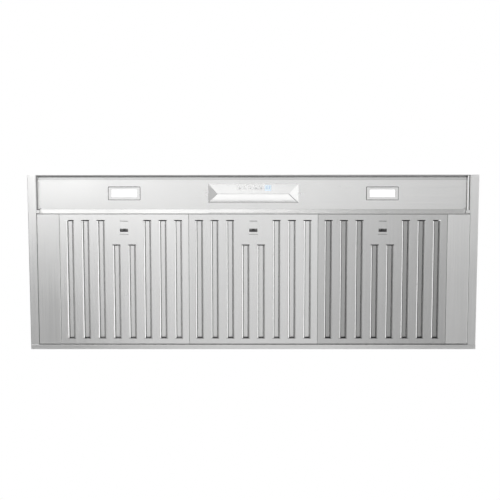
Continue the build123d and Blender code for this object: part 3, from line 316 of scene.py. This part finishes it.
for side, look in filterShadeTones.items():
    faceLook = {**steelDeepLook, "colour": warmGrey(look["face"])}
    channelLook = {**steelDeepLook, "colour": warmGrey(look["channel"])}
    faceMetal = brushedMetal(f"{side}FilterSheet", faceLook)
    dress(shadeAbove(faceMetal, innerShadeLook["faceFrom"], innerShadeLook["tone"]), f"{side}_filter_face")
    dress(brushedMetal(f"{side}ChannelSheet", channelLook), f"{side}_filter_baffles")
    latchLook = {**faceLook, "lines": 2600.0, "rough": 0.22}
    latchMetal = brushedMetal(f"{side}LatchSheet", latchLook)
    dress(shadeAbove(latchMetal, innerShadeLook["latchFrom"], innerShadeLook["tone"]), f"{side}_filter_latch")
print("stainless faces finished")


# Painted shade on the lip: darkest where it slopes, and its flat return darker than the plate behind it
lipShadeLook = {**steelLook, "slope": 0.56, "flat": 0.63, "flatFrom": 0.0182}


def shadedLipMetal(name, look):
    material = brushedMetal(name, {**look, "colour": (look["slope"],) * 3})
    return shadeAbove(material, look["flatFrom"], look["flat"] / look["slope"])


dress(shadedLipMetal("brushedSteelLipShade", lipShadeLook), "front_lip")

# Galvanised housing
zincLook = {"dark": (0.50, 0.52, 0.53), "light": (0.72, 0.74, 0.75), "haze": (0.60, 0.62, 0.64),
            "bloom": 0.5, "rough": 0.36, "flakes": 85.0, "depth": 0.00001}
dress(zincSheet("zincSheet", zincLook), "rear_panel", "plenum_front_wall", "top_panel", "front_cover",
      "plate_ledges", "blower_cover", "scroll_wrap", "scroll_sides", "inlet_rings", "duct_collar",
      "motor_bracket")
plateLook = {**zincLook, "flakes": 140.0, "rough": 0.3}
dress(zincSheet("zincPlate", plateLook), "left_damper_flap", "right_damper_flap", "junction_box",
      "junction_cover", "filter_rod")

# Screws, shafts, springs, blower and electrics
platedLook = {"colour": (0.70, 0.69, 0.66), "contrast": 0.08, "rough": 0.22, "roughSpread": 0.02,
              "smear": 0.04, "lines": 2200.0, "depth": 0.000004, "along": "z"}
platedMetal = brushedMetal("platedScrews", platedLook)
dress(platedMetal, "shell_screws")
groundLook = {**platedLook, "colour": (0.62, 0.62, 0.63), "rough": 0.16, "along": "x"}
dress(brushedMetal("groundShaft", groundLook), "motor_shaft", "motor_bearings", "damper_rod")
wireLook = {**platedLook, "colour": (0.10, 0.10, 0.11), "rough": 0.4, "along": "y"}
springMetal = brushedMetal("springWire", wireLook)
dress(springMetal, "left_filter_spring", "middle_filter_spring", "right_filter_spring")
wheelLook = {**platedLook, "colour": (0.66, 0.67, 0.68), "rough": 0.34, "along": "x"}
dress(brushedMetal("wheelSheet", wheelLook), "impeller_blades", "impeller_hub")
castLook = {**platedLook, "colour": (0.60, 0.60, 0.61), "rough": 0.42, "depth": 0.00002}
dress(brushedMetal("castLampBody", castLook), "lamp_housings")
canLook = {**platedLook, "colour": (0.71, 0.71, 0.71), "rough": 0.2, "along": "x"}
dress(brushedMetal("drawnCan", canLook), "motor_capacitor")
coreLook = {**platedLook, "colour": (0.20, 0.19, 0.18), "rough": 0.5, "contrast": 0.3, "along": "y"}
dress(brushedMetal("stackedCore", coreLook), "motor_stator", "motor_rotor")

paintLook = {"colour": (0.045, 0.045, 0.05), "fade": 0.5, "rough": 0.38, "pebble": 700.0, "depth": 0.00002}
dress(mouldedPlastic("motorPaint", paintLook), "motor_can", "motor_end_cap")
glandLook = {"colour": (0.05, 0.05, 0.05), "fade": 0.4, "rough": 0.5, "pebble": 1200.0, "depth": 0.00002}
dress(mouldedPlastic("glandNylon", glandLook), "cable_gland")
boardLook = {"colour": (0.03, 0.14, 0.07), "fade": 0.35, "rough": 0.35, "pebble": 500.0, "depth": 0.00001}
dress(mouldedPlastic("boardMask", boardLook), "control_board", "button_board")
gasketLook = {"colour": (0.05, 0.05, 0.05), "fade": 0.3, "rough": 0.7, "pebble": 1500.0, "depth": 0.00003}
dress(mouldedPlastic("foamGasket", gasketLook), "lamp_gaskets")
print("housing and inner pieces finished")

# Lamps
bezelLook = {**steelLook, "colour": (0.88, 0.88, 0.875), "lines": 2400.0, "rough": 0.3}
dress(brushedMetal("lampBezel", bezelLook), "lamp_bezels")
lensLook = {"colour": (0.95, 0.95, 0.94), "edge": (0.90, 0.90, 0.90), "glow": (1.0, 1.0, 1.0),
            "strength": 0.75, "rough": 0.35, "pebble": 1600.0, "depth": 0.00003}
dress(litLens("litLens", lensLook), "lamp_lenses")

# Control pod
podLook = {"colour": (0.86, 0.86, 0.855), "fade": 0.04, "rough": 0.24, "pebble": 2000.0, "depth": 0.000006,
           "metallic": 0.36}
dress(mouldedPlastic("podSilver", podLook), "control_pod")
buttonLook = {**podLook, "colour": (0.97, 0.97, 0.96), "rough": 0.32, "metallic": 0.3}
buttonNames = ["power_button", "slower_button", "faster_button", "timer_button", "light_button"]
dress(mouldedPlastic("buttonWhite", buttonLook), *buttonNames)
windowLook = {"colour": (0.66, 0.76, 0.84), "edge": (0.60, 0.71, 0.81), "glow": (0.74, 0.86, 0.95),
              "strength": 0.42, "rough": 0.12, "pebble": 800.0, "depth": 0.000004}
dress(litLens("displayWindow", windowLook), "display_window")
print("lamps and controls finished")


# A new piece from points and faces, riding on a body
def makePiece(name, shape, material, body):
    bmesh.ops.recalc_face_normals(shape, faces=shape.faces)
    mesh = bpy.data.meshes.new(name)
    shape.to_mesh(mesh)
    shape.free()
    mesh.materials.append(material)
    piece = bpy.data.objects.new(name, mesh)
    bpy.context.scene.collection.objects.link(piece)
    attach(piece, body)
    return piece


def addSlab(shape, lower, upper):
    low = [shape.verts.new(point) for point in lower]
    high = [shape.verts.new(point) for point in upper]
    shape.faces.new(low[::-1])
    shape.faces.new(high)
    for i in range(len(low)):
        j = (i + 1) % len(low)
        shape.faces.new((low[i], low[j], high[j], high[i]))


# Ends of the light tray, from the end panel inwards: a light edge, a dark strip of painted shade for the gap
# and a folded step, with a flat cap before the step at the right. Each profile is a list of (distance from
# the end panel, height)
trayLook = {"wall": 0.5621, "sheet": 0.0006, "frontFoot": -0.2290, "frontHead": -0.2215,
            "rearFoot": -0.1309, "rearHead": -0.1389, "foot": 0.0010, "head": 0.0192,
            "cornerHeights": (0.0005, 0.0009), "cornerGap": 0.0005}
leftTrayLook = {**trayLook, "side": -1, "cornerWidth": 0.0080, "shadeStripTone": 0.20,
                "edge": [(0.0, 0.0010), (0.0010, 0.0012)],
                "shadeStrip": [(0.0010, 0.0012), (0.0038, 0.0016)],
                "step": [(0.0038, 0.0016), (0.0046, 0.0150), (0.0062, 0.0196)]}
rightTrayLook = {**trayLook, "side": 1, "cornerWidth": 0.0105, "shadeStripTone": 0.05,
                 "edge": [(0.0, 0.0010), (0.0012, 0.0012)],
                 "shadeStrip": [(0.0012, 0.0012), (0.0040, 0.0016)],
                 "cap": [(0.0040, 0.0016), (0.0074, 0.0020)],
                 "step": [(0.0074, 0.0020), (0.0076, 0.0110)]}


def makeTrayStrip(name, profile, look, material, reachesSlope):
    shape = bmesh.new()
    rows = []
    for lift in (0.0, look["sheet"]):
        rows.append([])
        for distance, height in profile:
            share = (height - look["foot"]) / (look["head"] - look["foot"])
            front = look["frontFoot"] + (look["frontHead"] - look["frontFoot"]) * share
            rear = look["rearFoot"] + (look["rearHead"] - look["rearFoot"]) * (share if reachesSlope else 1.0)
            x = look["side"] * (look["wall"] - distance)
            rows[-1].append([shape.verts.new((x, y, height + lift)) for y in (front, rear)])
    low, high = rows
    for i in range(len(profile) - 1):
        shape.faces.new((low[i][0], low[i + 1][0], low[i + 1][1], low[i][1]))
        shape.faces.new((high[i][0], high[i][1], high[i + 1][1], high[i + 1][0]))
        for k in (0, 1):
            shape.faces.new((low[i][k], high[i][k], high[i + 1][k], low[i + 1][k]))
    for i in (0, len(profile) - 1):
        shape.faces.new((low[i][0], low[i][1], high[i][1], high[i][0]))
    makePiece(name, shape, material, "hood")


# Tab that closes the painted-shade strip where the rear slope meets the end panel
def makeTrayCorner(name, look, material):
    wall, start, end = look["wall"], look["rearHead"], look["rearFoot"] - look["cornerGap"]
    inner = wall - look["cornerWidth"]
    outline = [(wall, start), (inner, start), (inner, end), (wall, end)]
    shape = bmesh.new()
    layers = [[Vector((look["side"] * x, y, z)) for x, y in outline] for z in look["cornerHeights"]]
    addSlab(shape, *layers)
    makePiece(name, shape, material, "hood")


# Painted shade: these dark strips stand in for the shade in the gap beside each end panel, darker at the
# right
shadeStripLook = {"fade": 0.3, "rough": 0.6, "pebble": 1400.0, "depth": 0.00002}
capMetal = brushedMetal("trayCapSteel", steelDeepLook)
for label, look in (("left", leftTrayLook), ("right", rightTrayLook)):
    shadeStripPaint = mouldedPlastic(f"{label}TrayShadePaint", {**shadeStripLook, "colour": (look["shadeStripTone"],) * 3})
    makeTrayStrip(f"{label}TrayEdge", look["edge"], look, capMetal, True)
    makeTrayStrip(f"{label}TrayShadeStrip", look["shadeStrip"], look, shadeStripPaint, False)
    makeTrayStrip(f"{label}TrayStep", look["step"], look, capMetal, False)
    if "cap" in look:
        makeTrayStrip(f"{label}TrayCap", look["cap"], look, capMetal, True)
    makeTrayCorner(f"{label}TrayCorner", look, capMetal)
print("tray ends made")

# Painted shade: dark strips lying in the grooves in front of and behind each latch, for the shade in the
# gaps, as (front edge, rear edge, half width)
reliefShadeLook = {"colour": (0.06, 0.06, 0.06), "fade": 0.3, "rough": 0.6, "pebble": 1400.0, "depth": 0.00001,
              "heights": (0.00022, 0.00049), "front": (-0.1108, -0.1096, 0.0100),
              "rear": (-0.0759, -0.0751, 0.0120)}
reliefShadePaint = mouldedPlastic("reliefGapShade", reliefShadeLook)
for side in ("left", "middle", "right"):
    low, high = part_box(f"{side}_filter_latch")
    centreX = (low[0] + high[0]) / 2
    shape = bmesh.new()
    for front, rear, half in (reliefShadeLook["front"], reliefShadeLook["rear"]):
        leftX, rightX = centreX - half, centreX + half
        outline = [(leftX, front), (rightX, front), (rightX, rear), (leftX, rear)]
        addSlab(shape, *[[Vector((x, y, z)) for x, y in outline] for z in reliefShadeLook["heights"]])
    makePiece(f"{side}LatchGapShade", shape, reliefShadePaint, f"{side}_filter")
print("latch gaps drawn")

# Coil springs of the three latches
springLook = {"radius": 0.0026, "wire": 0.00038, "front": -0.0902, "rear": -0.0562, "height": 0.007,
              "turns": 13, "steps": 26, "sides": 8, "travel": 0.006}


def makeSpring(side, centreX, look):
    shape = bmesh.new()
    total = look["turns"] * look["steps"]
    length = look["rear"] - look["front"] - 2 * look["wire"]
    rings = []
    for i in range(total + 1):
        share = i / total
        closed = min(1.0, share * look["turns"], (1 - share) * look["turns"])  # end turns lie flat
        angle = share * look["turns"] * 2 * math.pi
        along = share if closed == 1 else round(share) + (share - round(share)) * closed
        run = look["front"] + look["wire"] + length * along
        outward = Vector((math.cos(angle), 0.0, math.sin(angle)))
        centre = Vector((centreX, run, look["height"])) + outward * look["radius"]
        ring = []
        for k in range(look["sides"]):
            turn = 2 * math.pi * k / look["sides"]
            offset = outward * math.cos(turn) + Vector((0.0, 1.0, 0.0)) * math.sin(turn)
            ring.append(shape.verts.new(centre + offset * look["wire"]))
        rings.append(ring)
    for first, second in zip(rings, rings[1:]):
        for k in range(look["sides"]):
            n = (k + 1) % look["sides"]
            shape.faces.new((first[k], first[n], second[n], second[k])).smooth = True
    shape.faces.new(rings[0])
    shape.faces.new(rings[-1][::-1])
    piece = makePiece(f"{side}LatchCoil", shape, springMetal, f"{side}_filter")
    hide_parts(f"{side}_filter_spring")
    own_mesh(piece)


for side in ("left", "middle", "right"):
    low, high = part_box(f"{side}_filter_spring")
    makeSpring(side, (low[0] + high[0]) / 2, springLook)
print("latch springs wound")

# Marks on the buttons and digits on the window, laid on the sloped front face of the pod
podShape = {"height": 0.012, "depth": 0.0501, "faceCentre": (0.0, -0.192575, 0.014)}
podTilt = math.atan2(podShape["height"] * 2, podShape["depth"])
podFace = {"origin": Vector(podShape["faceCentre"]), "across": Vector((1.0, 0.0, 0.0)),
           "up": Vector((0.0, -math.cos(podTilt), math.sin(podTilt))),
           "out": Vector((0.0, -math.sin(podTilt), -math.cos(podTilt)))}


def onPod(x, y, lift):
    return podFace["origin"] + podFace["across"] * x + podFace["up"] * y + podFace["out"] * lift


def addStroke(shape, points, width, low, high, closed=False):
    count = len(points)
    sides = []
    for i, (x, y) in enumerate(points):
        before = points[i - 1] if i or closed else points[i]
        after = points[(i + 1) % count] if i < count - 1 or closed else points[i]
        run = Vector((after[0] - before[0], after[1] - before[1])).normalized()
        across = Vector((-run.y, run.x)) * width / 2
        sides.append(((x + across.x, y + across.y), (x - across.x, y - across.y)))
    for i in range(count if closed else count - 1):
        (leftA, rightA), (leftB, rightB) = sides[i], sides[(i + 1) % count]
        loop = [leftA, leftB, rightB, rightA]
        addSlab(shape, [onPod(x, y, low) for x, y in loop], [onPod(x, y, high) for x, y in loop])


def arcPoints(x, y, radius, start, sweep, steps=18):
    turns = [math.radians(start + sweep * i / steps) for i in range(steps + 1)]
    return [(x + radius * math.cos(turn), y + radius * math.sin(turn)) for turn in turns]


def barAt(x, y, half):
    return [(x - half, y), (x + half, y)]


markLook = {"size": 0.0019, "stroke": 0.00055, "button": 0.0005, "rise": 0.00006, "sink": 0.00002,
            "pitch": 0.014, "first": -0.0355, "shift": 0.0013}
inkLook = {"colour": (0.10, 0.11, 0.12), "fade": 0.3, "rough": 0.5, "pebble": 2500.0, "depth": 0.000004}
markInk = mouldedPlastic("markInk", inkLook)
markStrokes = {
    "power": lambda x, y, r: [arcPoints(x, y, r, 125, 290), [(x, y + r * 0.1), (x, y + r * 1.25)]],
    "slower": lambda x, y, r: [barAt(x, y, r)],
    "faster": lambda x, y, r: [barAt(x, y, r), [(x, y - r), (x, y + r)]],
    "timer": lambda x, y, r: [arcPoints(x, y, r, 0, 350), [(x, y + r * 0.6), (x, y), (x + r * 0.5, y)]],
    "light": lambda x, y, r: [arcPoints(x, y + r * 0.3, r * 0.75, -60, 300),
                              barAt(x, y - r * 0.75, r * 0.4), barAt(x, y - r * 1.15, r * 0.25)],
}
markLow, markHigh = markLook["button"] - markLook["sink"], markLook["button"] + markLook["rise"]
for i, (label, strokes) in enumerate(markStrokes.items()):
    shape = bmesh.new()
    markX = markLook["first"] + i * markLook["pitch"]
    for points in strokes(markX, markLook["shift"], markLook["size"]):
        addStroke(shape, points, markLook["stroke"], markLow, markHigh)
    makePiece(f"{label}Mark", shape, markInk, f"{label}_button")

# A dark line of painted shade along the right rear hip of the pod
hipLook = {"start": (0.1167, -0.1556, 0.0197), "end": (0.0926, -0.1797, 0.0082), "width": 0.0008,
           "rise": 0.00012, "sink": 0.0002}


def makeHipShadeLine(look, material):
    start, end = Vector(look["start"]), Vector(look["end"])
    shape = bmesh.new()
    sine, cosine = math.sin(podTilt), math.cos(podTilt)
    for flank in (Vector((sine, 0.0, -cosine)), Vector((0.0, sine, -cosine))):
        across = flank.cross(end - start).normalized() * look["width"]
        outward = Vector((1.0, -1.0, 0.0)) if flank.x else Vector((-1.0, 1.0, 0.0))
        if across.dot(outward) < 0:
            across = -across
        corners = [start, end, end + across, start + across]
        low = [corner - flank * look["sink"] for corner in corners]
        high = [corner + flank * look["rise"] for corner in corners]
        addSlab(shape, low, high)
    makePiece("podHipShadeLine", shape, material, "hood")


# Painted shade: the dark line stands in for the shade that a rounded hip would show
hipShadeLook = {"colour": (0.22, 0.22, 0.23), "fade": 0.2, "rough": 0.5, "pebble": 2500.0, "depth": 0.000004}
makeHipShadeLine(hipLook, mouldedPlastic("podHipShadePaint", hipShadeLook))

digitLook = {"height": 0.0062, "width": 0.0034, "stroke": 0.0007, "shift": 0.0032, "places": (0.0350, 0.0412),
             "digits": ("0", "3"), "low": -0.00004, "high": 0.00002,
             "trim": 0.6}  # share of a stroke, leaves the small gaps between the bars
# Seven bars, each from (column, row) to (column, row)
segmentEnds = {"a": ((0, 2), (1, 2)), "b": ((1, 2), (1, 1)), "c": ((1, 1), (1, 0)), "d": ((1, 0), (0, 0)),
               "e": ((0, 0), (0, 1)), "f": ((0, 1), (0, 2)), "g": ((0, 1), (1, 1))}
digitSegments = {"0": "abcdef", "3": "abcdg"}


def makeDigits(look, material):
    shape = bmesh.new()
    for digit, centreX in zip(look["digits"], look["places"]):
        for segment in digitSegments[digit]:
            ends = []
            for column, row in segmentEnds[segment]:
                barY = look["shift"] + (row - 1) * look["height"] / 2
                ends.append((centreX + (column - 0.5) * look["width"], barY))
            (x0, y0), (x1, y1) = ends
            trim = look["stroke"] * look["trim"]
            run = Vector((x1 - x0, y1 - y0)).normalized() * trim
            bar = [(x0 + run.x, y0 + run.y), (x1 - run.x, y1 - run.y)]
            addStroke(shape, bar, look["stroke"], look["low"], look["high"])
    makePiece("displayDigits", shape, material, "hood")


digitInkLook = {**inkLook, "colour": (0.16, 0.30, 0.42)}
makeDigits(digitLook, mouldedPlastic("digitInk", digitInkLook))
print("button marks and digits printed")


# Screw heads with a cross recess and rivet heads, set where the frame has its screws and rivets
screwLook = {"headRadius": 0.0036, "headHeight": 0.0022, "shankRadius": 0.0019, "segments": 28,
             "edge": 0.25, "rimTurns": (0.0, 0.35, 0.7, 0.95),
             "cross": 0.0021, "arm": 0.00032, "depth": 0.0011, "crossFloor": 0.75,
             "rivetHeight": 0.0014, "domeTurns": (0.15, 0.5, 0.85, 1.15), "pin": 0.55, "pinMouth": 0.98,
             "pinFloor": (0.9, 0.6), "rivetUnder": 0.003,
             "fillerBeyond": 0.55, "fillerUnder": 0.05, "turnByX": 37.0, "turnByY": 21.0}


def meshIslands(mesh):
    shape = bmesh.new()
    shape.from_mesh(mesh)
    seen = set()
    for seed in shape.verts:
        if seed in seen:
            continue
        seen.add(seed)
        waiting, found = [seed], []
        while waiting:
            corner = waiting.pop()
            found.append(corner.co.copy())
            for edge in corner.link_edges:
                other = edge.other_vert(corner)
                if other not in seen:
                    seen.add(other)
                    waiting.append(other)
        low = Vector([min(point[i] for point in found) for i in range(3)])
        high = Vector([max(point[i] for point in found) for i in range(3)])
        yield low, high
    shape.free()


def addTurned(shape, profile, segments, place):
    rings = []
    for radius, height in profile:
        ring = []
        for k in range(segments):
            turn = 2 * math.pi * k / segments
            point = Vector((radius * math.cos(turn), radius * math.sin(turn), height))
            ring.append(shape.verts.new(place @ point))
        rings.append(ring)
    for first, second in zip(rings, rings[1:]):
        for k in range(segments):
            n = (k + 1) % segments
            shape.faces.new((first[k], first[n], second[n], second[k])).smooth = True
    return rings


def addScrew(shape, place, look, shank):
    radius, height = look["headRadius"], look["headHeight"]
    edge, domed = look["edge"], 1 - look["edge"]
    rim = [(radius * math.cos(t), height * (edge + domed * math.sin(t))) for t in look["rimTurns"]]
    profile = [(look["shankRadius"], -shank), (look["shankRadius"], 0.0), (radius, 0.0), *rim]
    rings = addTurned(shape, profile, look["segments"], place)
    shape.faces.new(rings[0][::-1])
    arm, reach, shrink = look["arm"], look["cross"], look["crossFloor"]
    outline = [(reach, -arm), (reach, arm), (arm, arm), (arm, reach), (-arm, reach), (-arm, arm),
               (-reach, arm), (-reach, -arm), (-arm, -arm), (-arm, -reach), (arm, -reach), (arm, -arm)]
    top = rim[-1][1]
    bottom = top - look["depth"]
    mouth = [shape.verts.new(place @ Vector((x, y, top))) for x, y in outline]
    floor = [shape.verts.new(place @ Vector((x * shrink, y * shrink, bottom))) for x, y in outline]
    for k in range(len(mouth)):
        n = (k + 1) % len(mouth)
        shape.faces.new((mouth[k], mouth[n], floor[n], floor[k]))
    shape.faces.new(floor)
    edges = []
    for loop in (mouth, rings[-1]):
        edges += [shape.edges.get((loop[k], loop[(k + 1) % len(loop)])) for k in range(len(loop))]
    bmesh.ops.triangle_fill(shape, edges=edges, use_beauty=True)


def addRivet(shape, place, look, shank):
    radius, height = look["headRadius"], look["rivetHeight"]
    dome = [(radius * math.cos(t), height * math.sin(t)) for t in look["domeTurns"]]
    pin = look["shankRadius"] * look["pin"]
    taper, sunk = look["pinFloor"]
    hollow = [(pin, height * look["pinMouth"]), (pin * taper, height * sunk)]
    profile = [(look["shankRadius"], -shank), (look["shankRadius"], 0.0), (radius, 0.0), *dome, *hollow]
    rings = addTurned(shape, profile, look["segments"], place)
    shape.faces.new(rings[0][::-1])
    shape.faces.new(rings[-1])


def makeScrews(look, material):
    shape = bmesh.new()
    for low, high in meshIslands(cadNodes["shell_screws"].data):
        middle = (low + high) / 2
        size = high - low
        if abs(middle.x) > look["fillerBeyond"] and middle.z < look["fillerUnder"]:
            # filler screws lie across, heads towards the middle
            inward = -1 if middle.x > 0 else 1
            headX = (low.x if inward < 0 else high.x) - inward * look["headHeight"]
            turn = Vector((inward, 0.0, 0.0)).to_track_quat("Z", "Y").to_matrix().to_4x4()
            base = Matrix.Translation((headX, middle.y, middle.z)) @ turn
            addScrew(shape, base, look, size.x - look["headHeight"])
        elif size.z < look["rivetUnder"]:
            base = Matrix.Translation((middle.x, middle.y, high.z - look["rivetHeight"]))
            addRivet(shape, base, look, size.z - look["rivetHeight"])
        else:
            angle = middle.x * look["turnByX"] + middle.y * look["turnByY"]  # the recesses stand at odds
            turn = Matrix.Rotation(angle, 4, "Z")
            base = Matrix.Translation((middle.x, middle.y, high.z - look["headHeight"])) @ turn
            addScrew(shape, base, look, size.z - look["headHeight"])
    piece = makePiece("shellScrewHeads", shape, material, "hood")
    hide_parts("shell_screws")


makeScrews(screwLook, platedMetal)
print("screws set")


# Floor, light and camera
def plainStage(name, look):
    mesh = bpy.data.meshes.new(name)
    shape = bmesh.new()
    bmesh.ops.create_grid(shape, x_segments=1, y_segments=1, size=look["floorSize"] / 2)
    shape.to_mesh(mesh)
    shape.free()
    piece = bpy.data.objects.new(name, mesh)
    piece.location = (0.0, 0.0, look["floorHeight"])
    bpy.context.scene.collection.objects.link(piece)
    material, tree, shader = startMaterial(name + "Paint")
    place = addNode(tree, "ShaderNodeTexCoord")
    speckle = noiseAt(tree, place.outputs["Object"], *look["speckle"])
    paler = tuple(min(1.0, channel * look["paler"]) for channel in look["floorColour"])
    join(tree, mixColours(tree, speckle, look["floorColour"], paler), shader.inputs["Base Color"])
    setInputs(shader, Roughness=look["floorRough"])
    mesh.materials.append(material)


stageLook = {"floorSize": 60.0, "floorHeight": -5.0, "floorColour": (0.80, 0.80, 0.80), "floorRough": 0.9,
             "speckle": (1.2, 2.0), "paler": 1.03,
             "leftLight": 0.08, "rightLight": 0.32, "fade": 0.8, "shown": 1.0}
plainStage("studioFloor", stageLook)


# The room is dimmer on the left than on the right; the camera sees it white
def makeWorld(look):
    world = bpy.data.worlds.new("studioWorld")
    bpy.context.scene.world = world
    world.use_nodes = True
    tree = world.node_tree
    light = tree.nodes["Background"]
    place = addNode(tree, "ShaderNodeTexCoord")
    parts = addNode(tree, "ShaderNodeSeparateXYZ")
    join(tree, place.outputs["Generated"], parts.inputs[0])
    across = addNode(tree, "ShaderNodeMapRange")
    setInputs(across, From_Min=-look["fade"], From_Max=look["fade"],
              To_Min=look["leftLight"], To_Max=look["rightLight"])
    join(tree, parts.outputs["X"], across.inputs["Value"])
    join(tree, across.outputs["Result"], light.inputs["Strength"])
    setInputs(light, Color=(1.0, 1.0, 1.0, 1.0))
    shown = addNode(tree, "ShaderNodeBackground")
    setInputs(shown, Color=(1.0, 1.0, 1.0, 1.0), Strength=look["shown"])
    path = addNode(tree, "ShaderNodeLightPath")
    mixed = addNode(tree, "ShaderNodeMixShader")
    join(tree, path.outputs["Is Camera Ray"], mixed.inputs[0])
    join(tree, light.outputs[0], mixed.inputs[1])
    join(tree, shown.outputs[0], mixed.inputs[2])
    join(tree, mixed.outputs[0], tree.nodes["World Output"].inputs[0])


makeWorld(stageLook)


# A soft box whose face has the given brightness; the camera doesn't see it
def softBox(name, look):
    data = bpy.data.lights.new(name, "AREA")
    data.shape = "RECTANGLE"
    data.size, data.size_y = look["size"]
    data.energy = look["level"] * math.pi * data.size * data.size_y
    lamp = bpy.data.objects.new(name, data)
    lamp.location = look["place"]
    toward = Vector(look["aim"]) - Vector(look["place"])
    lamp.rotation_euler = toward.to_track_quat("-Z", "Y").to_euler()
    lamp.visible_camera = False
    bpy.context.scene.collection.objects.link(lamp)


softBoxes = {
    "rightBox": {"place": (3.4, 0.3, -2.55), "aim": (3.0, 0.3, -2.55), "size": (3.4, 3.7), "level": 1.5},
    "leftBox": {"place": (-3.4, 0.3, -2.3), "aim": (-3.0, 0.3, -2.3), "size": (1.4, 1.4), "level": 0.4},
    "frontBox": {"place": (-1.7, -3.2, -2.6), "aim": (-1.7, -0.2, 0.0), "size": (4.0, 2.2), "level": 1.67},
    "frontRightBox": {"place": (1.7, -3.2, -2.6), "aim": (1.2, -0.2, 0.0), "size": (2.6, 2.2), "level": 0.52},
    "rearBox": {"place": (-0.2, 3.2, -1.6), "aim": (0.0, -0.2, 0.0), "size": (4.4, 1.8), "level": 1.8},
    "underLeft": {"place": (-1.45, -0.2, -4.85), "aim": (-1.45, -0.2, 0.0), "size": (1.6, 1.5),
                  "level": 1.46},
    "underMiddle": {"place": (0.0, -0.2, -4.85), "aim": (0.0, -0.2, 0.0), "size": (1.5, 1.5), "level": 0.70},
    "underRight": {"place": (1.5, -0.2, -4.85), "aim": (1.5, -0.2, 0.0), "size": (1.5, 1.5), "level": 0.40},
    "underRear": {"place": (0.0, 1.3, -4.85), "aim": (0.0, 1.3, 0.0), "size": (1.5, 1.5), "level": 0.42},
    "topBox": {"place": (-1.2, -1.2, 3.2), "aim": (0.0, 0.0, 0.1), "size": (3.0, 3.0), "level": 1.4},
    "highFrontBox": {"place": (0.0, -3.6, 1.6), "aim": (0.0, 0.0, 0.15), "size": (3.6, 1.4), "level": 1.0},
    "topRearBox": {"place": (-2.4, 2.2, 1.8), "aim": (0.0, 0.0, 0.1), "size": (2.2, 2.2), "level": 1.2},
}
for boxName, look in softBoxes.items():
    softBox(boxName, look)

cameraLook = {"distance": 4.29, "tilt": 10.0, "lens": 118.53, "shift": (-0.0066, 0.02586),
              "clip": (0.05, 200.0)}


def makeCamera(look):
    data = bpy.data.cameras.new("hoodCamera")
    data.lens = look["lens"]
    data.shift_x, data.shift_y = look["shift"]
    data.clip_start, data.clip_end = look["clip"]
    camera = bpy.data.objects.new("hoodCamera", data)
    tilt = math.radians(look["tilt"])
    forward = Vector((0.0, math.sin(tilt), math.cos(tilt)))
    up = Vector((0.0, -math.cos(tilt), math.sin(tilt)))
    turn = Matrix((forward.cross(up), up, -forward)).transposed()
    camera.matrix_world = Matrix.Translation(-forward * look["distance"]) @ turn.to_4x4()
    bpy.context.scene.collection.objects.link(camera)
    bpy.context.scene.camera = camera


makeCamera(cameraLook)
bpy.context.scene.view_settings.view_transform = "Standard"
print("studio set up")
